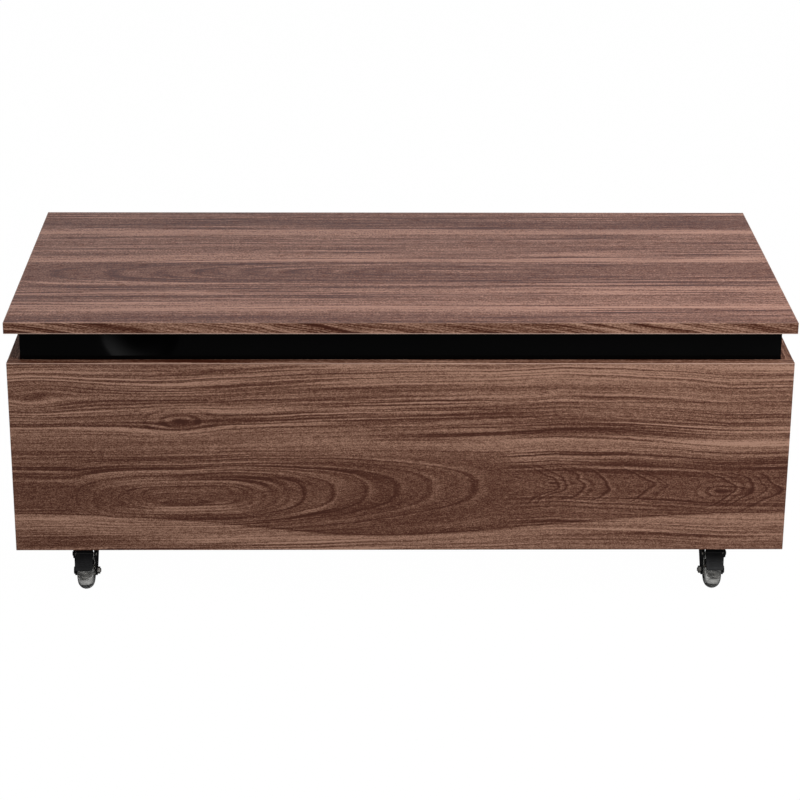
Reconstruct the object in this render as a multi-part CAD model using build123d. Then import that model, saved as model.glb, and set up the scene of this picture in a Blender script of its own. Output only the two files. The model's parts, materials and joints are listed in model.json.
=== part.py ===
from build123d import *
import os
from math import cos, pi, radians, sin, sqrt

# A lift-top coffee table on four casters. The top rises and swings forward on two pairs of arms.
# The origin is on the floor under the middle of the table: X along the width, Y to the back, Z up.
# Lengths are in millimetres and angles in degrees.

# Table top
TOP_WIDTH = 1200.0
TOP_DEPTH = 580.0
TOP_THICKNESS = 18.0
TOP_SIDE_OVERHANG = 2.0
EDGE_BAND = 1.0
EDGE_ROUND = 0.8

# Carcass panels
PANEL_HEIGHT = 310.0
PANEL_THICKNESS = 18.0
BOTTOM_THICKNESS = 18.0
RECESS_HEIGHT = 47.0

# Black riser boards that carry the closed top
RISER_HEIGHT = 120.0
RISER_THICKNESS = 18.0
RISER_END_GAP = 1.0
BUMPER_THICKNESS = 2.0
BUMPER_RADIUS = 5.0
BUMPER_INSET = 80.0

# Board joints: cam locks with their bolts, dowels, and flat-head screws
CAM_RADIUS = 7.5
CAM_DEPTH = 12.5
CAM_REACH = 34.0
CAM_LOW = 60.0
CAM_HIGH = 205.0
CAM_BOLT_RADIUS = 3.5
CAM_BOLT_BITE = 11.0
DOWEL_RADIUS = 4.0
DOWEL_BITE = 12.0
DOWEL_SEAT = 18.0
LONG_DOWEL_PITCH = 400.0
SIDE_DOWEL_PITCH = 240.0
SCREW_RADIUS = 2.0
SCREW_HEAD_RADIUS = 3.8
WOOD_CLEARANCE = 0.1
RISER_SCREW_BITE = 10.0
RISER_SCREW_DROP = 40.0
RISER_SCREW_PITCH = 300.0
SIDE_RISER_SCREW_INSET = 45.0

# Lift linkage: a parallelogram of two arms on each side, drawn closed
ARM_LENGTH = 220.0
ARM_WIDTH = 28.0
ARM_THICKNESS = 5.0
ARM_REST_ANGLE = 8.0
PIVOT_SPREAD = 70.0
PIVOT_DROP = 25.0
TOP_PIVOT_DROP = 24.0
LIFT_REAR_GAP = 10.0
SHEET = 3.0
BEND_RADIUS = 2.0
ARM_GAP = 1.2
PIVOT_WASHER = 1.0
WASHER_RADIUS = 10.0
PIN_RADIUS = 5.0
PIN_HEAD_RADIUS = 8.0
PIN_HEAD = 2.5
PIVOT_CLEARANCE = 0.05
SHAFT_RADIUS = 6.0
BUSH_WALL = 2.0
BASE_EYE_RADIUS = 20.0
BASE_FOOT_FRONT = 24.0
BASE_FOOT_REAR = 36.0
BASE_FOOT_DROP = 26.0
BASE_CORNER = 8.0
CHEEK_WIDTH = 40.0
CHEEK_TOP_WIDTH = 28.0
TOP_FLANGE = 32.0
TOP_BRACKET_LEAD = 34.0
BASE_SCREW_BITE = 12.0
TOP_SCREW_BITE = 11.0
TOP_SCREW_INSET = 14.0

# Torsion springs on the lift shaft
SPRING_RADIUS = 9.0
SPRING_WIRE = 3.6
SPRING_PITCH = 5.0
SPRING_COILS = 8
SPRING_BEND = 4.0
SPRING_ARM_LEG = 42.0
SPRING_CHEEK_LEG = 9.0
SPRING_END_GAP = 1.5
SPRING_HOLE_GAP = 0.4
SPRING_LEAST_GAP = 0.4

# Casters
CASTER_HEIGHT = 84.0
CASTER_SIDE_INSET = 102.5
CASTER_FRONT_INSET = 70.5
CASTER_PLATE = 60.0
CASTER_PLATE_CORNER = 6.0
CASTER_PLATE_SHEET = 2.5
CASTER_SCREW_PITCH = 46.0
CASTER_SCREW_RADIUS = 2.2
CASTER_SCREW_HEAD_RADIUS = 4.4
CASTER_SCREW_HEAD = 2.4
CASTER_SCREW_BITE = 12.0
RACE_RADIUS = 15.5
RACE_WIDTH = 5.0
RACE_THICKNESS = 4.8
RACE_CUP_WALL = 2.0
RACE_CUP_GAP = 2.0
RACE_CUP_HEIGHT = 4.2
RACE_GAP = 0.1
KINGPIN_RADIUS = 5.0
KINGPIN_HEAD_RADIUS = 8.5
KINGPIN_HEAD = 3.0
KINGPIN_HEAD_GAP = 0.2
FORK_GAP = 30.0
FORK_SHEET = 2.5
FORK_CROWN_RADIUS = 19.5
FORK_BEND = 4.0
FORK_REAR = 24.0
FORK_FRONT = 32.0
FORK_EYE_RADIUS = 8.0
AXLE_TRAIL = 26.0
AXLE_RADIUS = 3.0
AXLE_NUT_RADIUS = 5.8
AXLE_NUT_HEIGHT = 4.0
AXLE_HEAD = 2.0
AXLE_TIP = 1.5

# Wheels
WHEEL_RADIUS = 29.5
TYRE_WIDTH = 26.0
TYRE_DEPTH = 13.5
HUB_RADIUS = 8.0
HUB_END_GAP = 0.3
RIM_WALL = 3.0
RIM_WIDTH = 22.0
WEB_THICKNESS = 6.0

# Brake pedals of the front casters
PEDAL_PIVOT_FORWARD = 40.5
PEDAL_PIVOT_HEIGHT = 65.0
PEDAL_EYE_RADIUS = 7.5
PEDAL_SLOPE = 45.0
PEDAL_LENGTH = 30.0
PEDAL_HEEL = 6.0
PEDAL_SIDE_GAP = 1.8
PEDAL_PLATE = 2.5
PEDAL_FACE = 3.5
PEDAL_BARREL_RADIUS = 4.0
PEDAL_PIN_RADIUS = 2.0
PEDAL_PIN_HEAD_RADIUS = 3.5
PEDAL_PIN_HEAD = 1.5
PEDAL_CORNER = 2.0
PEDAL_GRIPS = 3
PEDAL_GRIP_START = 17.4
PEDAL_GRIP_PITCH = 3.4
PEDAL_GRIP_WIDTH = 1.4
PEDAL_GRIP_DEPTH = 0.8
PEDAL_GRIP_MARGIN = 4.0
SHOE_START = 18.0
SHOE_LENGTH = 8.0
SHOE_HEIGHT = 3.9
SHOE_WIDTH = 16.0

# Places worked out from the sizes
CARCASS_BOTTOM = CASTER_HEIGHT
CARCASS_TOP = CARCASS_BOTTOM + PANEL_HEIGHT
TOP_UNDER = CARCASS_TOP + RECESS_HEIGHT
TABLE_TOP = TOP_UNDER + TOP_THICKNESS
HALF_WIDTH = TOP_WIDTH / 2
HALF_DEPTH = TOP_DEPTH / 2
CARCASS_X = HALF_WIDTH - TOP_SIDE_OVERHANG
INNER_X = CARCASS_X - PANEL_THICKNESS
INNER_Y = HALF_DEPTH - PANEL_THICKNESS
FLOOR_TOP = CARCASS_BOTTOM + BOTTOM_THICKNESS
RISER_TOP = TOP_UNDER - BUMPER_THICKNESS
RISER_BOTTOM = RISER_TOP - RISER_HEIGHT
RISER_X = INNER_X - RISER_THICKNESS
RISER_Y = INNER_Y - RISER_THICKNESS
SIDES = {"left": -1, "right": 1}
ENDS = {"front": -1, "back": 1}

# Linkage pivots in the (Y, Z) plane: base front A, base rear B, top front C, top rear D
ARM_ALONG = (cos(radians(ARM_REST_ANGLE)), sin(radians(ARM_REST_ANGLE)))
PIVOT_D = (RISER_Y - LIFT_REAR_GAP - ARM_WIDTH / 2, TOP_UNDER - TOP_PIVOT_DROP - PIVOT_DROP)
PIVOT_C = (PIVOT_D[0] - PIVOT_SPREAD, PIVOT_D[1] + PIVOT_DROP)
PIVOT_A = (PIVOT_C[0] - ARM_LENGTH * ARM_ALONG[0], PIVOT_C[1] - ARM_LENGTH * ARM_ALONG[1])
PIVOT_B = (PIVOT_D[0] - ARM_LENGTH * ARM_ALONG[0], PIVOT_D[1] - ARM_LENGTH * ARM_ALONG[1])

# Layers of the right-hand linkage, from the riser inwards
BASE_IN = RISER_X - SHEET
ARM_OUT = BASE_IN - ARM_GAP
ARM_IN = ARM_OUT - ARM_THICKNESS
TOP_FLANGE_OUT = ARM_IN - ARM_GAP
TOP_FLANGE_IN = TOP_FLANGE_OUT - SHEET
SPRING_OUT = ARM_IN - SPRING_END_GAP - SPRING_WIRE / 2
SPRING_IN = SPRING_OUT - SPRING_PITCH * (SPRING_COILS - 1 / 4)
CHEEK_OUT = SPRING_IN - SPRING_WIRE / 2 - SPRING_END_GAP
CHEEK_IN = CHEEK_OUT - SHEET
BASE_BOTTOM = PIVOT_B[1] - BASE_FOOT_DROP
BUSH_RADIUS = SHAFT_RADIUS + PIVOT_CLEARANCE + BUSH_WALL

# Caster levels and widths, in the caster's own frame with the kingpin at x = y = 0
PLATE_UNDER = CASTER_HEIGHT - CASTER_PLATE_SHEET
RACE_TOP = PLATE_UNDER - RACE_GAP
CROWN_TOP = RACE_TOP - RACE_THICKNESS - RACE_GAP
CROWN_UNDER = CROWN_TOP - FORK_SHEET
FORK_IN = FORK_GAP / 2
FORK_OUT = FORK_IN + FORK_SHEET
RIM_RADIUS = WHEEL_RADIUS - TYRE_DEPTH
CASTER_X = CARCASS_X - CASTER_SIDE_INSET
CASTER_Y = HALF_DEPTH - CASTER_FRONT_INSET
CASTERS = {
    "front_left": (-CASTER_X, -CASTER_Y, 0.0, True),
    "front_right": (CASTER_X, -CASTER_Y, 0.0, True),
    "rear_left": (-CASTER_X, CASTER_Y, 180.0, False),
    "rear_right": (CASTER_X, CASTER_Y, 180.0, False),
}


def block(x_span, y_span, z_span):
    """A box between two limits on each axis."""
    spans = (x_span, y_span, z_span)
    middle = [(low + high) / 2 for low, high in spans]
    return Pos(*middle) * Box(*[high - low for low, high in spans])


def rod(start, end, radius):
    """A round bar between two points."""
    along = Vector(*end) - Vector(*start)
    place = Plane(origin=start, z_dir=along)
    return place * Cylinder(radius, along.length, align=(Align.CENTER, Align.CENTER, Align.MIN))


def cross_rod(x_start, x_end, pivot, radius):
    """A round bar along X, centred on a (Y, Z) point."""
    return rod((x_start, *pivot), (x_end, *pivot), radius)


def washer(x_start, x_end, pivot, bore, radius):
    """A flat ring across X, centred on a (Y, Z) point."""
    return cross_rod(x_start, x_end, pivot, radius) - cross_rod(x_start, x_end, pivot, bore)


def side_plate(outline, x_start, x_end):
    """A flat plate across X from an outline drawn in (Y, Z)."""
    plane = Plane(origin=(x_start, 0, 0), x_dir=(0, 1, 0), z_dir=(1, 0, 0))
    return extrude(plane * outline, x_end - x_start)


def eye(pivot, radius):
    """A disc of an outline round a (Y, Z) point."""
    return Pos(*pivot) * Circle(radius)


def hull(*shapes):
    """The outline stretched round several sketches."""
    return make_hull([edge for shape in shapes for edge in shape.edges()])


def revolved(points, plane):
    """A turned piece: a closed outline of (radius, along) points, spun about the plane's own Z."""
    outline = make_face(Polyline(*points, close=True))
    return plane * revolve(Plane.XZ * outline, Axis.Z)


def flat_head_screw(head, into, length, grow=0.0):
    """A countersunk wood screw from the middle of its head; grow widens it into its hole."""
    points = [
        (0, 0),
        (SCREW_HEAD_RADIUS + grow, 0),
        (SCREW_RADIUS + grow, SCREW_HEAD_RADIUS - SCREW_RADIUS),
        (SCREW_RADIUS + grow, length - SCREW_RADIUS),
        (0, length),
    ]
    return revolved(points, Plane(origin=head, z_dir=into))


def pan_head_screw(seat, into, length):
    """A screw with a flat round head that stands on its seat."""
    seat = Vector(*seat)
    along = Vector(*into)
    shank = rod(seat, seat + along * length, CASTER_SCREW_RADIUS)
    head = rod(seat - along * CASTER_SCREW_HEAD, seat, CASTER_SCREW_HEAD_RADIUS)
    return shank + head


def drilled(board, holes):
    """A board less the holes that reach into it."""
    for hole in holes:
        board -= hole
    return board


def both_sides(piece):
    """A right-hand piece and its mirror image on the left."""
    return [piece, mirror(piece, about=Plane.YZ)]


def spread(pitch, limit):
    """Places along a board, one pitch apart and even about its middle, within a limit."""
    count = int(2 * limit // pitch) + 1
    return [pitch * (i - (count - 1) / 2) for i in range(count)]


# Board joints
def cam_joints():
    """Cam locks in the side panels, their bolts into the front and back panels, and all their holes."""
    locks, bolts, holes = [], [], []
    bolt_x = CARCASS_X - PANEL_THICKNESS / 2
    for side in SIDES.values():
        for end in ENDS.values():
            for rise in (CAM_LOW, CAM_HIGH):
                y, z = end * (INNER_Y - CAM_REACH), CARCASS_BOTTOM + rise
                mouth, seat = (side * INNER_X, y, z), (side * (INNER_X + CAM_DEPTH), y, z)
                bolt_ends = (side * bolt_x, end * (INNER_Y + CAM_BOLT_BITE), z), (side * bolt_x, y, z)
                bolt_hole = rod(*bolt_ends, CAM_BOLT_RADIUS + WOOD_CLEARANCE)
                locks.append(rod(mouth, seat, CAM_RADIUS) - bolt_hole)
                bolts.append(rod(*bolt_ends, CAM_BOLT_RADIUS))
                holes += [rod(mouth, seat, CAM_RADIUS + WOOD_CLEARANCE), bolt_hole]
    return locks, bolts, holes


def dowel_ends():
    """End points of the dowels between the bottom panel and the four upright panels."""
    z = CARCASS_BOTTOM + BOTTOM_THICKNESS / 2
    ends = []
    for sign in (-1, 1):
        for x in spread(LONG_DOWEL_PITCH, INNER_X - DOWEL_SEAT):
            ends.append(((x, sign * (INNER_Y + DOWEL_BITE), z), (x, sign * (INNER_Y - DOWEL_SEAT), z)))
        for y in spread(SIDE_DOWEL_PITCH, INNER_Y - DOWEL_SEAT):
            ends.append(((sign * (INNER_X + DOWEL_BITE), y, z), (sign * (INNER_X - DOWEL_SEAT), y, z)))
    return ends


def riser_screws(grow=0.0):
    """Flat-head screws through the risers into the panels behind them."""
    z = CARCASS_TOP - RISER_SCREW_DROP
    length = RISER_THICKNESS + RISER_SCREW_BITE
    screws = []
    for sign in (-1, 1):
        for x in spread(RISER_SCREW_PITCH, RISER_X):
            screws.append(flat_head_screw((x, sign * RISER_Y, z), (0, sign, 0), length, grow))
        for y_sign in (-1, 1):
            y = y_sign * (RISER_Y - SIDE_RISER_SCREW_INSET)
            screws.append(flat_head_screw((sign * RISER_X, y, z), (sign, 0, 0), length, grow))
    return screws


# Lift linkage
def arm_point(x, along, across):
    """A point beside the front arm, measured from the shaft along and across the arm."""
    y = PIVOT_A[0] + along * ARM_ALONG[0] - across * ARM_ALONG[1]
    z = PIVOT_A[1] + along * ARM_ALONG[1] + across * ARM_ALONG[0]
    return Vector(x, y, z)


def arm_way(x, along, across):
    """A direction given along X, along the arm and across it."""
    return (arm_point(x, along, across) - arm_point(0, 0, 0)).normalized()


def biarc(start, start_way, end, end_way):
    """Two tangent arcs from one point and direction to another."""
    chord = end - start
    ways = start_way + end_way
    bend = 2 * (1 - start_way.dot(end_way))
    lean = chord.dot(ways)
    reach = (sqrt(lean * lean + bend * chord.dot(chord)) - lean) / bend
    middle = (start + start_way * reach + end - end_way * reach) * 0.5
    first = TangentArc(start, middle, tangent=start_way)
    return [first, TangentArc(middle, end, tangent=first % 1)]


def hooked_leg(tip, corner, root):
    """A straight spring leg with its end bent over, from its tip round a corner to the coil."""
    path = FilletPolyline(tip, corner, root, radius=SPRING_BEND)
    return list(path.edges())


def spring_path():
    """The right-hand spring's wire: a leg hooked into the arm, the coils, a leg hooked into the cheek."""
    slope = SPRING_PITCH / (2 * pi * SPRING_RADIUS)
    end_turn = 360 * SPRING_COILS
    turns = [0] + [90 + 180 * i for i in range(2 * SPRING_COILS)] + [end_turn]
    points, ways = [], []
    for turn in turns:
        inwards = {0: 0, end_turn: end_turn - 90}.get(turn, turn - 45)
        x = SPRING_OUT - SPRING_PITCH * inwards / 360
        angle = radians(-90 - turn)
        points.append(arm_point(x, SPRING_RADIUS * cos(angle), SPRING_RADIUS * sin(angle)))
        ways.append(arm_way(0 if turn in (0, end_turn) else -slope, sin(angle), -cos(angle)))
    edges = hooked_leg(
        arm_point(ARM_OUT, SPRING_ARM_LEG, -SPRING_RADIUS),
        arm_point(SPRING_OUT, SPRING_ARM_LEG, -SPRING_RADIUS),
        points[0],
    )
    for k in range(len(turns) - 1):
        edges += biarc(points[k], ways[k], points[k + 1], ways[k + 1])
    edges += hooked_leg(
        arm_point(CHEEK_IN, -SPRING_CHEEK_LEG, -SPRING_RADIUS),
        arm_point(SPRING_IN, -SPRING_CHEEK_LEG, -SPRING_RADIUS),
        points[-1],
    )
    return Wire(edges)


def least_wire_gap(path, steps=600):
    """The narrowest space between two stretches of the wire, measured on points along it."""
    points = [path @ (i / steps) for i in range(steps + 1)]
    apart = int(steps * pi * SPRING_RADIUS / path.length)
    nearest = min((a - b).length for i, a in enumerate(points) for b in points[i + apart :])
    return nearest - SPRING_WIRE


def torsion_spring():
    """The right-hand torsion spring, one wire swept along its path."""
    path = spring_path()
    gap = least_wire_gap(path)
    print(f"torsion spring: least gap between turns {gap:.2f} mm")
    if gap < SPRING_LEAST_GAP:
        print("torsion spring: the turns are too close")
    section = Plane(origin=path @ 0, z_dir=path % 0) * Circle(SPRING_WIRE / 2)
    return sweep(section, path=path)


def arm_outline(pivot):
    """A flat bar with round ends, from a base pivot along the arm."""
    middle = [pivot[i] + ARM_ALONG[i] * ARM_LENGTH / 2 for i in (0, 1)]
    return Pos(*middle) * Rot(0, 0, ARM_REST_ANGLE) * SlotCenterToCenter(ARM_LENGTH, ARM_WIDTH)


def spring_hole(x_start, x_end, along, across):
    """The hole that a spring's hooked end goes through."""
    radius = SPRING_WIRE / 2 + SPRING_HOLE_GAP
    return rod(arm_point(x_start, along, across), arm_point(x_end, along, across), radius)


def front_arm():
    """The right-hand front arm, fixed on the shaft and pierced for the spring and the top pin."""
    arm = side_plate(arm_outline(PIVOT_A), ARM_IN, ARM_OUT)
    arm -= cross_rod(ARM_IN, ARM_OUT, PIVOT_A, SHAFT_RADIUS + PIVOT_CLEARANCE)
    arm -= cross_rod(ARM_IN, ARM_OUT, PIVOT_C, PIN_RADIUS + PIVOT_CLEARANCE)
    return arm - spring_hole(ARM_IN, ARM_OUT, SPRING_ARM_LEG, -SPRING_RADIUS)


def rear_arm():
    """The right-hand rear arm with its two pin holes."""
    arm = side_plate(arm_outline(PIVOT_B), ARM_IN, ARM_OUT)
    for pivot in (PIVOT_B, PIVOT_D):
        arm -= cross_rod(ARM_IN, ARM_OUT, pivot, PIN_RADIUS + PIVOT_CLEARANCE)
    return arm


def base_screws(grow=0.0):
    """Flat-head screws of the right-hand base bracket, into the side riser."""
    low = BASE_BOTTOM + SHEET + BEND_RADIUS + SCREW_HEAD_RADIUS
    places = [
        (PIVOT_A[0] - BASE_FOOT_FRONT + BASE_CORNER, low + BASE_CORNER),
        (PIVOT_B[0] + BASE_FOOT_REAR - BASE_CORNER, low),
        (PIVOT_A[0], PIVOT_A[1] - BASE_EYE_RADIUS),
        (PIVOT_B[0] + BASE_EYE_RADIUS - SCREW_HEAD_RADIUS, PIVOT_B[1] + SCREW_HEAD_RADIUS),
    ]
    length = SHEET + BASE_SCREW_BITE
    return [flat_head_screw((BASE_IN, y, z), (1, 0, 0), length, grow) for y, z in places]


def base_bracket():
    """The right-hand base bracket: a plate on the riser with a channel up to an inner cheek."""
    plate = hull(
        eye(PIVOT_A, BASE_EYE_RADIUS),
        eye(PIVOT_B, BASE_EYE_RADIUS),
        eye((PIVOT_A[0] - BASE_FOOT_FRONT, BASE_BOTTOM + BASE_CORNER), BASE_CORNER),
        eye((PIVOT_B[0] + BASE_FOOT_REAR, BASE_BOTTOM + BASE_CORNER), BASE_CORNER),
    )
    y_span = (PIVOT_A[0] - CHEEK_WIDTH / 2, PIVOT_A[0] + CHEEK_WIDTH / 2)
    cheek_top = PIVOT_A[1] + CHEEK_TOP_WIDTH / 2
    channel = block((CHEEK_IN, CHEEK_OUT), y_span, (BASE_BOTTOM, cheek_top))
    channel += block((CHEEK_IN, BASE_IN), y_span, (BASE_BOTTOM, BASE_BOTTOM + SHEET))
    bends = channel.edges().filter_by(Axis.Y).group_by(Axis.Z)
    channel = fillet(bends[0].sort_by(Axis.X)[0], BEND_RADIUS + SHEET)
    bends = channel.edges().filter_by(Axis.Y).filter_by_position(Axis.X, CHEEK_OUT, CHEEK_OUT)
    channel = fillet(bends.sort_by(Axis.Z)[0], BEND_RADIUS)
    cheek = hull(
        eye(PIVOT_A, CHEEK_TOP_WIDTH / 2),
        Pos(PIVOT_A[0], BASE_BOTTOM + SHEET) * Rectangle(CHEEK_WIDTH, 2 * SHEET),
    )
    channel &= side_plate(cheek, CHEEK_IN, BASE_IN)
    bracket = side_plate(plate, BASE_IN, RISER_X) + channel
    for x_start, x_end in ((BASE_IN, RISER_X), (CHEEK_IN, CHEEK_OUT)):
        bracket -= cross_rod(x_start, x_end, PIVOT_A, BUSH_RADIUS + PIVOT_CLEARANCE)
    bracket -= cross_rod(BASE_IN, RISER_X, PIVOT_B, PIN_RADIUS + PIVOT_CLEARANCE)
    bracket -= spring_hole(CHEEK_IN, CHEEK_OUT, -SPRING_CHEEK_LEG, -SPRING_RADIUS)
    return drilled(bracket, base_screws(WOOD_CLEARANCE))


def shaft_bushes():
    """Flanged bushes that carry the right-hand end of the shaft in the plate and in the cheek."""
    bore = SHAFT_RADIUS + PIVOT_CLEARANCE
    bushes = []
    for x_in, x_out, flange_start in (
        (BASE_IN, RISER_X, BASE_IN - PIVOT_WASHER),
        (CHEEK_IN, CHEEK_OUT, CHEEK_OUT),
    ):
        sleeve = washer(x_in, x_out, PIVOT_A, bore, BUSH_RADIUS)
        flange = washer(flange_start, flange_start + PIVOT_WASHER, PIVOT_A, bore, WASHER_RADIUS)
        bushes.append(sleeve + flange)
    return bushes


def rear_arm_pin():
    """The right-hand base pin of the rear arm, riveted in the base plate and headed inside the arm."""
    head_out = ARM_IN - ARM_GAP
    pin = cross_rod(head_out, RISER_X, PIVOT_B, PIN_RADIUS)
    return pin + cross_rod(head_out - PIN_HEAD, head_out, PIVOT_B, PIN_HEAD_RADIUS)


def gap_washer(gap_start, pivot):
    """A washer in the middle of an arm gap."""
    start = gap_start + (ARM_GAP - PIVOT_WASHER) / 2
    return washer(start, start + PIVOT_WASHER, pivot, PIN_RADIUS + PIVOT_CLEARANCE, WASHER_RADIUS)


def top_screws(grow=0.0):
    """Flat-head screws of the right-hand top bracket, up into the slab."""
    x = TOP_FLANGE_OUT - TOP_FLANGE / 2
    front = PIVOT_C[0] - TOP_BRACKET_LEAD + TOP_SCREW_INSET
    rear = PIVOT_D[0] + ARM_WIDTH / 2 - TOP_SCREW_INSET
    z = TOP_UNDER - SHEET
    length = SHEET + TOP_SCREW_BITE
    places = [front + (rear - front) * i / 2 for i in range(3)]
    return [flat_head_screw((x, y, z), (0, 0, 1), length, grow) for y in places]


def top_bracket():
    """The right-hand top bracket: an angle whose lower leg holds the two top pins."""
    front, rear = PIVOT_C[0] - TOP_BRACKET_LEAD, PIVOT_D[0] + ARM_WIDTH / 2
    middle, length = (front + rear) / 2, rear - front
    leg = hull(
        eye(PIVOT_C, ARM_WIDTH / 2),
        eye(PIVOT_D, ARM_WIDTH / 2),
        Pos(middle, TOP_UNDER - SHEET / 2) * Rectangle(length, SHEET),
    )
    bracket = side_plate(leg, TOP_FLANGE_IN, TOP_FLANGE_OUT)
    flange = Pos(TOP_FLANGE_OUT - TOP_FLANGE / 2, middle, TOP_UNDER - SHEET) * extrude(
        Rectangle(TOP_FLANGE, length), SHEET
    )
    bracket += flange
    outer = bracket.edges().filter_by(Axis.Y).group_by(Axis.Z)[-1].sort_by(Axis.X)[-1]
    bracket = fillet(outer, BEND_RADIUS + SHEET)
    corner_edges = bracket.edges().filter_by(Axis.Z).group_by(Axis.X)[0]
    bracket = fillet(corner_edges, BASE_CORNER)
    for pivot in (PIVOT_C, PIVOT_D):
        bracket -= cross_rod(TOP_FLANGE_IN, TOP_FLANGE_OUT, pivot, PIN_RADIUS + PIVOT_CLEARANCE)
    return drilled(bracket, top_screws(WOOD_CLEARANCE))


def top_pin(pivot):
    """A right-hand top pin: headed outside the arm, peened inside the bracket."""
    head_in = ARM_OUT + ARM_GAP - PIVOT_WASHER
    pin = cross_rod(TOP_FLANGE_IN, head_in, pivot, PIN_RADIUS)
    pin += cross_rod(head_in, head_in + PIN_HEAD, pivot, PIN_HEAD_RADIUS)
    return pin + cross_rod(TOP_FLANGE_IN - PIN_HEAD, TOP_FLANGE_IN, pivot, PIN_HEAD_RADIUS)


# Casters, each drawn with its wheel trailing towards the front
def caster_screw_places():
    """Corner places of a caster plate's screws."""
    half = CASTER_SCREW_PITCH / 2
    return [(x, y) for x in (-half, half) for y in (-half, half)]


def caster_screws():
    """The four screws of one caster, up through its plate into the bottom panel."""
    length = CASTER_PLATE_SHEET + CASTER_SCREW_BITE
    return [pan_head_screw((x, y, PLATE_UNDER), (0, 0, 1), length) for x, y in caster_screw_places()]


def caster_screw_holes():
    """Clearance holes for the screws of one caster."""
    end = CASTER_HEIGHT + CASTER_SCREW_BITE
    radius = CASTER_SCREW_RADIUS + WOOD_CLEARANCE
    return [rod((x, y, PLATE_UNDER), (x, y, end), radius) for x, y in caster_screw_places()]


def caster_plate():
    """The square top plate with the cup of its swivel race."""
    plate = Pos(0, 0, PLATE_UNDER) * extrude(
        RectangleRounded(CASTER_PLATE, CASTER_PLATE, CASTER_PLATE_CORNER), CASTER_PLATE_SHEET
    )
    cup_in = RACE_RADIUS + RACE_WIDTH / 2 + RACE_CUP_GAP
    cup_low = (0, 0, PLATE_UNDER - RACE_CUP_HEIGHT)
    cup_high = (0, 0, PLATE_UNDER)
    plate += rod(cup_low, cup_high, cup_in + RACE_CUP_WALL) - rod(cup_low, cup_high, cup_in)
    plate -= rod((0, 0, PLATE_UNDER), (0, 0, CASTER_HEIGHT), KINGPIN_RADIUS + PIVOT_CLEARANCE)
    return drilled(plate, caster_screw_holes())


def swivel_race():
    """The thrust bearing between the plate and the fork's crown, drawn as one ring."""
    low, high = (0, 0, RACE_TOP - RACE_THICKNESS), (0, 0, RACE_TOP)
    return rod(low, high, RACE_RADIUS + RACE_WIDTH / 2) - rod(low, high, RACE_RADIUS - RACE_WIDTH / 2)


def kingpin():
    """The rivet that holds the fork under its plate."""
    head_top = CROWN_UNDER - KINGPIN_HEAD_GAP
    pin = rod((0, 0, head_top), (0, 0, CASTER_HEIGHT), KINGPIN_RADIUS)
    return pin + rod((0, 0, head_top - KINGPIN_HEAD), (0, 0, head_top), KINGPIN_HEAD_RADIUS)


AXLE = (-AXLE_TRAIL, WHEEL_RADIUS)
PEDAL_PIVOT = (-PEDAL_PIVOT_FORWARD, PEDAL_PIVOT_HEIGHT)


def fork(braked):
    """The pressed fork: a round crown and two legs, with ears for the pedal pin on a braked caster."""
    middle, length = (FORK_REAR - FORK_FRONT) / 2, FORK_REAR + FORK_FRONT
    top_edge = Pos(middle, CROWN_TOP - FORK_SHEET / 2) * Rectangle(length, FORK_SHEET)
    leg = hull(eye(AXLE, FORK_EYE_RADIUS), top_edge)
    if braked:
        leg += hull(eye(PEDAL_PIVOT, PEDAL_EYE_RADIUS), top_edge)
    y_span = (-PEDAL_PIVOT_FORWARD - PEDAL_EYE_RADIUS, FORK_REAR)
    body = block((-FORK_OUT, FORK_OUT), y_span, (0, CROWN_TOP))
    body -= block((-FORK_IN, FORK_IN), y_span, (0, CROWN_UNDER))
    long_edges = body.edges().filter_by(Axis.Y).group_by(Axis.Z)
    body = fillet(long_edges[-1], FORK_BEND)
    inside = body.edges().filter_by(Axis.Y).filter_by_position(Axis.Z, CROWN_UNDER, CROWN_UNDER)
    body = fillet(inside, FORK_BEND - FORK_SHEET)
    body &= side_plate(leg, -FORK_OUT, FORK_OUT)
    body += Pos(0, 0, CROWN_UNDER) * extrude(Circle(FORK_CROWN_RADIUS), FORK_SHEET)
    body -= rod((0, 0, CROWN_UNDER), (0, 0, CROWN_TOP), KINGPIN_RADIUS + PIVOT_CLEARANCE)
    body -= cross_rod(-FORK_OUT, FORK_OUT, AXLE, AXLE_RADIUS + PIVOT_CLEARANCE)
    if braked:
        body -= cross_rod(-FORK_OUT, FORK_OUT, PEDAL_PIVOT, PEDAL_PIN_RADIUS + PIVOT_CLEARANCE)
    return body


def axle(nut_side):
    """The axle bolt with its flat round head, and its nut on one side of the fork."""
    hexagon = Pos(*AXLE) * RegularPolygon(AXLE_NUT_RADIUS, 6)
    seat, end = FORK_OUT, FORK_OUT + AXLE_NUT_HEIGHT
    bolt = cross_rod(-seat, end + AXLE_TIP, AXLE, AXLE_RADIUS)
    bolt += cross_rod(-seat - AXLE_HEAD, -seat, AXLE, AXLE_NUT_RADIUS)
    nut = side_plate(hexagon, seat, end) - cross_rod(seat, end, AXLE, AXLE_RADIUS + PIVOT_CLEARANCE)
    if nut_side < 0:
        return [mirror(bolt, about=Plane.YZ), mirror(nut, about=Plane.YZ)]
    return [bolt, nut]


AXLE_PLANE = Plane(origin=(0, *AXLE), x_dir=(0, 1, 0), z_dir=(1, 0, 0))


def wheel_hub():
    """The wheel's hub, web and rim, turned as one piece."""
    bore = AXLE_RADIUS + PIVOT_CLEARANCE
    hub_half, web_half, rim_half = FORK_IN - HUB_END_GAP, WEB_THICKNESS / 2, RIM_WIDTH / 2
    rim_inside = RIM_RADIUS - RIM_WALL
    half = [
        (bore, hub_half),
        (HUB_RADIUS, hub_half),
        (HUB_RADIUS, web_half),
        (rim_inside, web_half),
        (rim_inside, rim_half),
        (RIM_RADIUS, rim_half),
    ]
    return revolved(half + [(radius, -along) for radius, along in reversed(half)], AXLE_PLANE)


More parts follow.
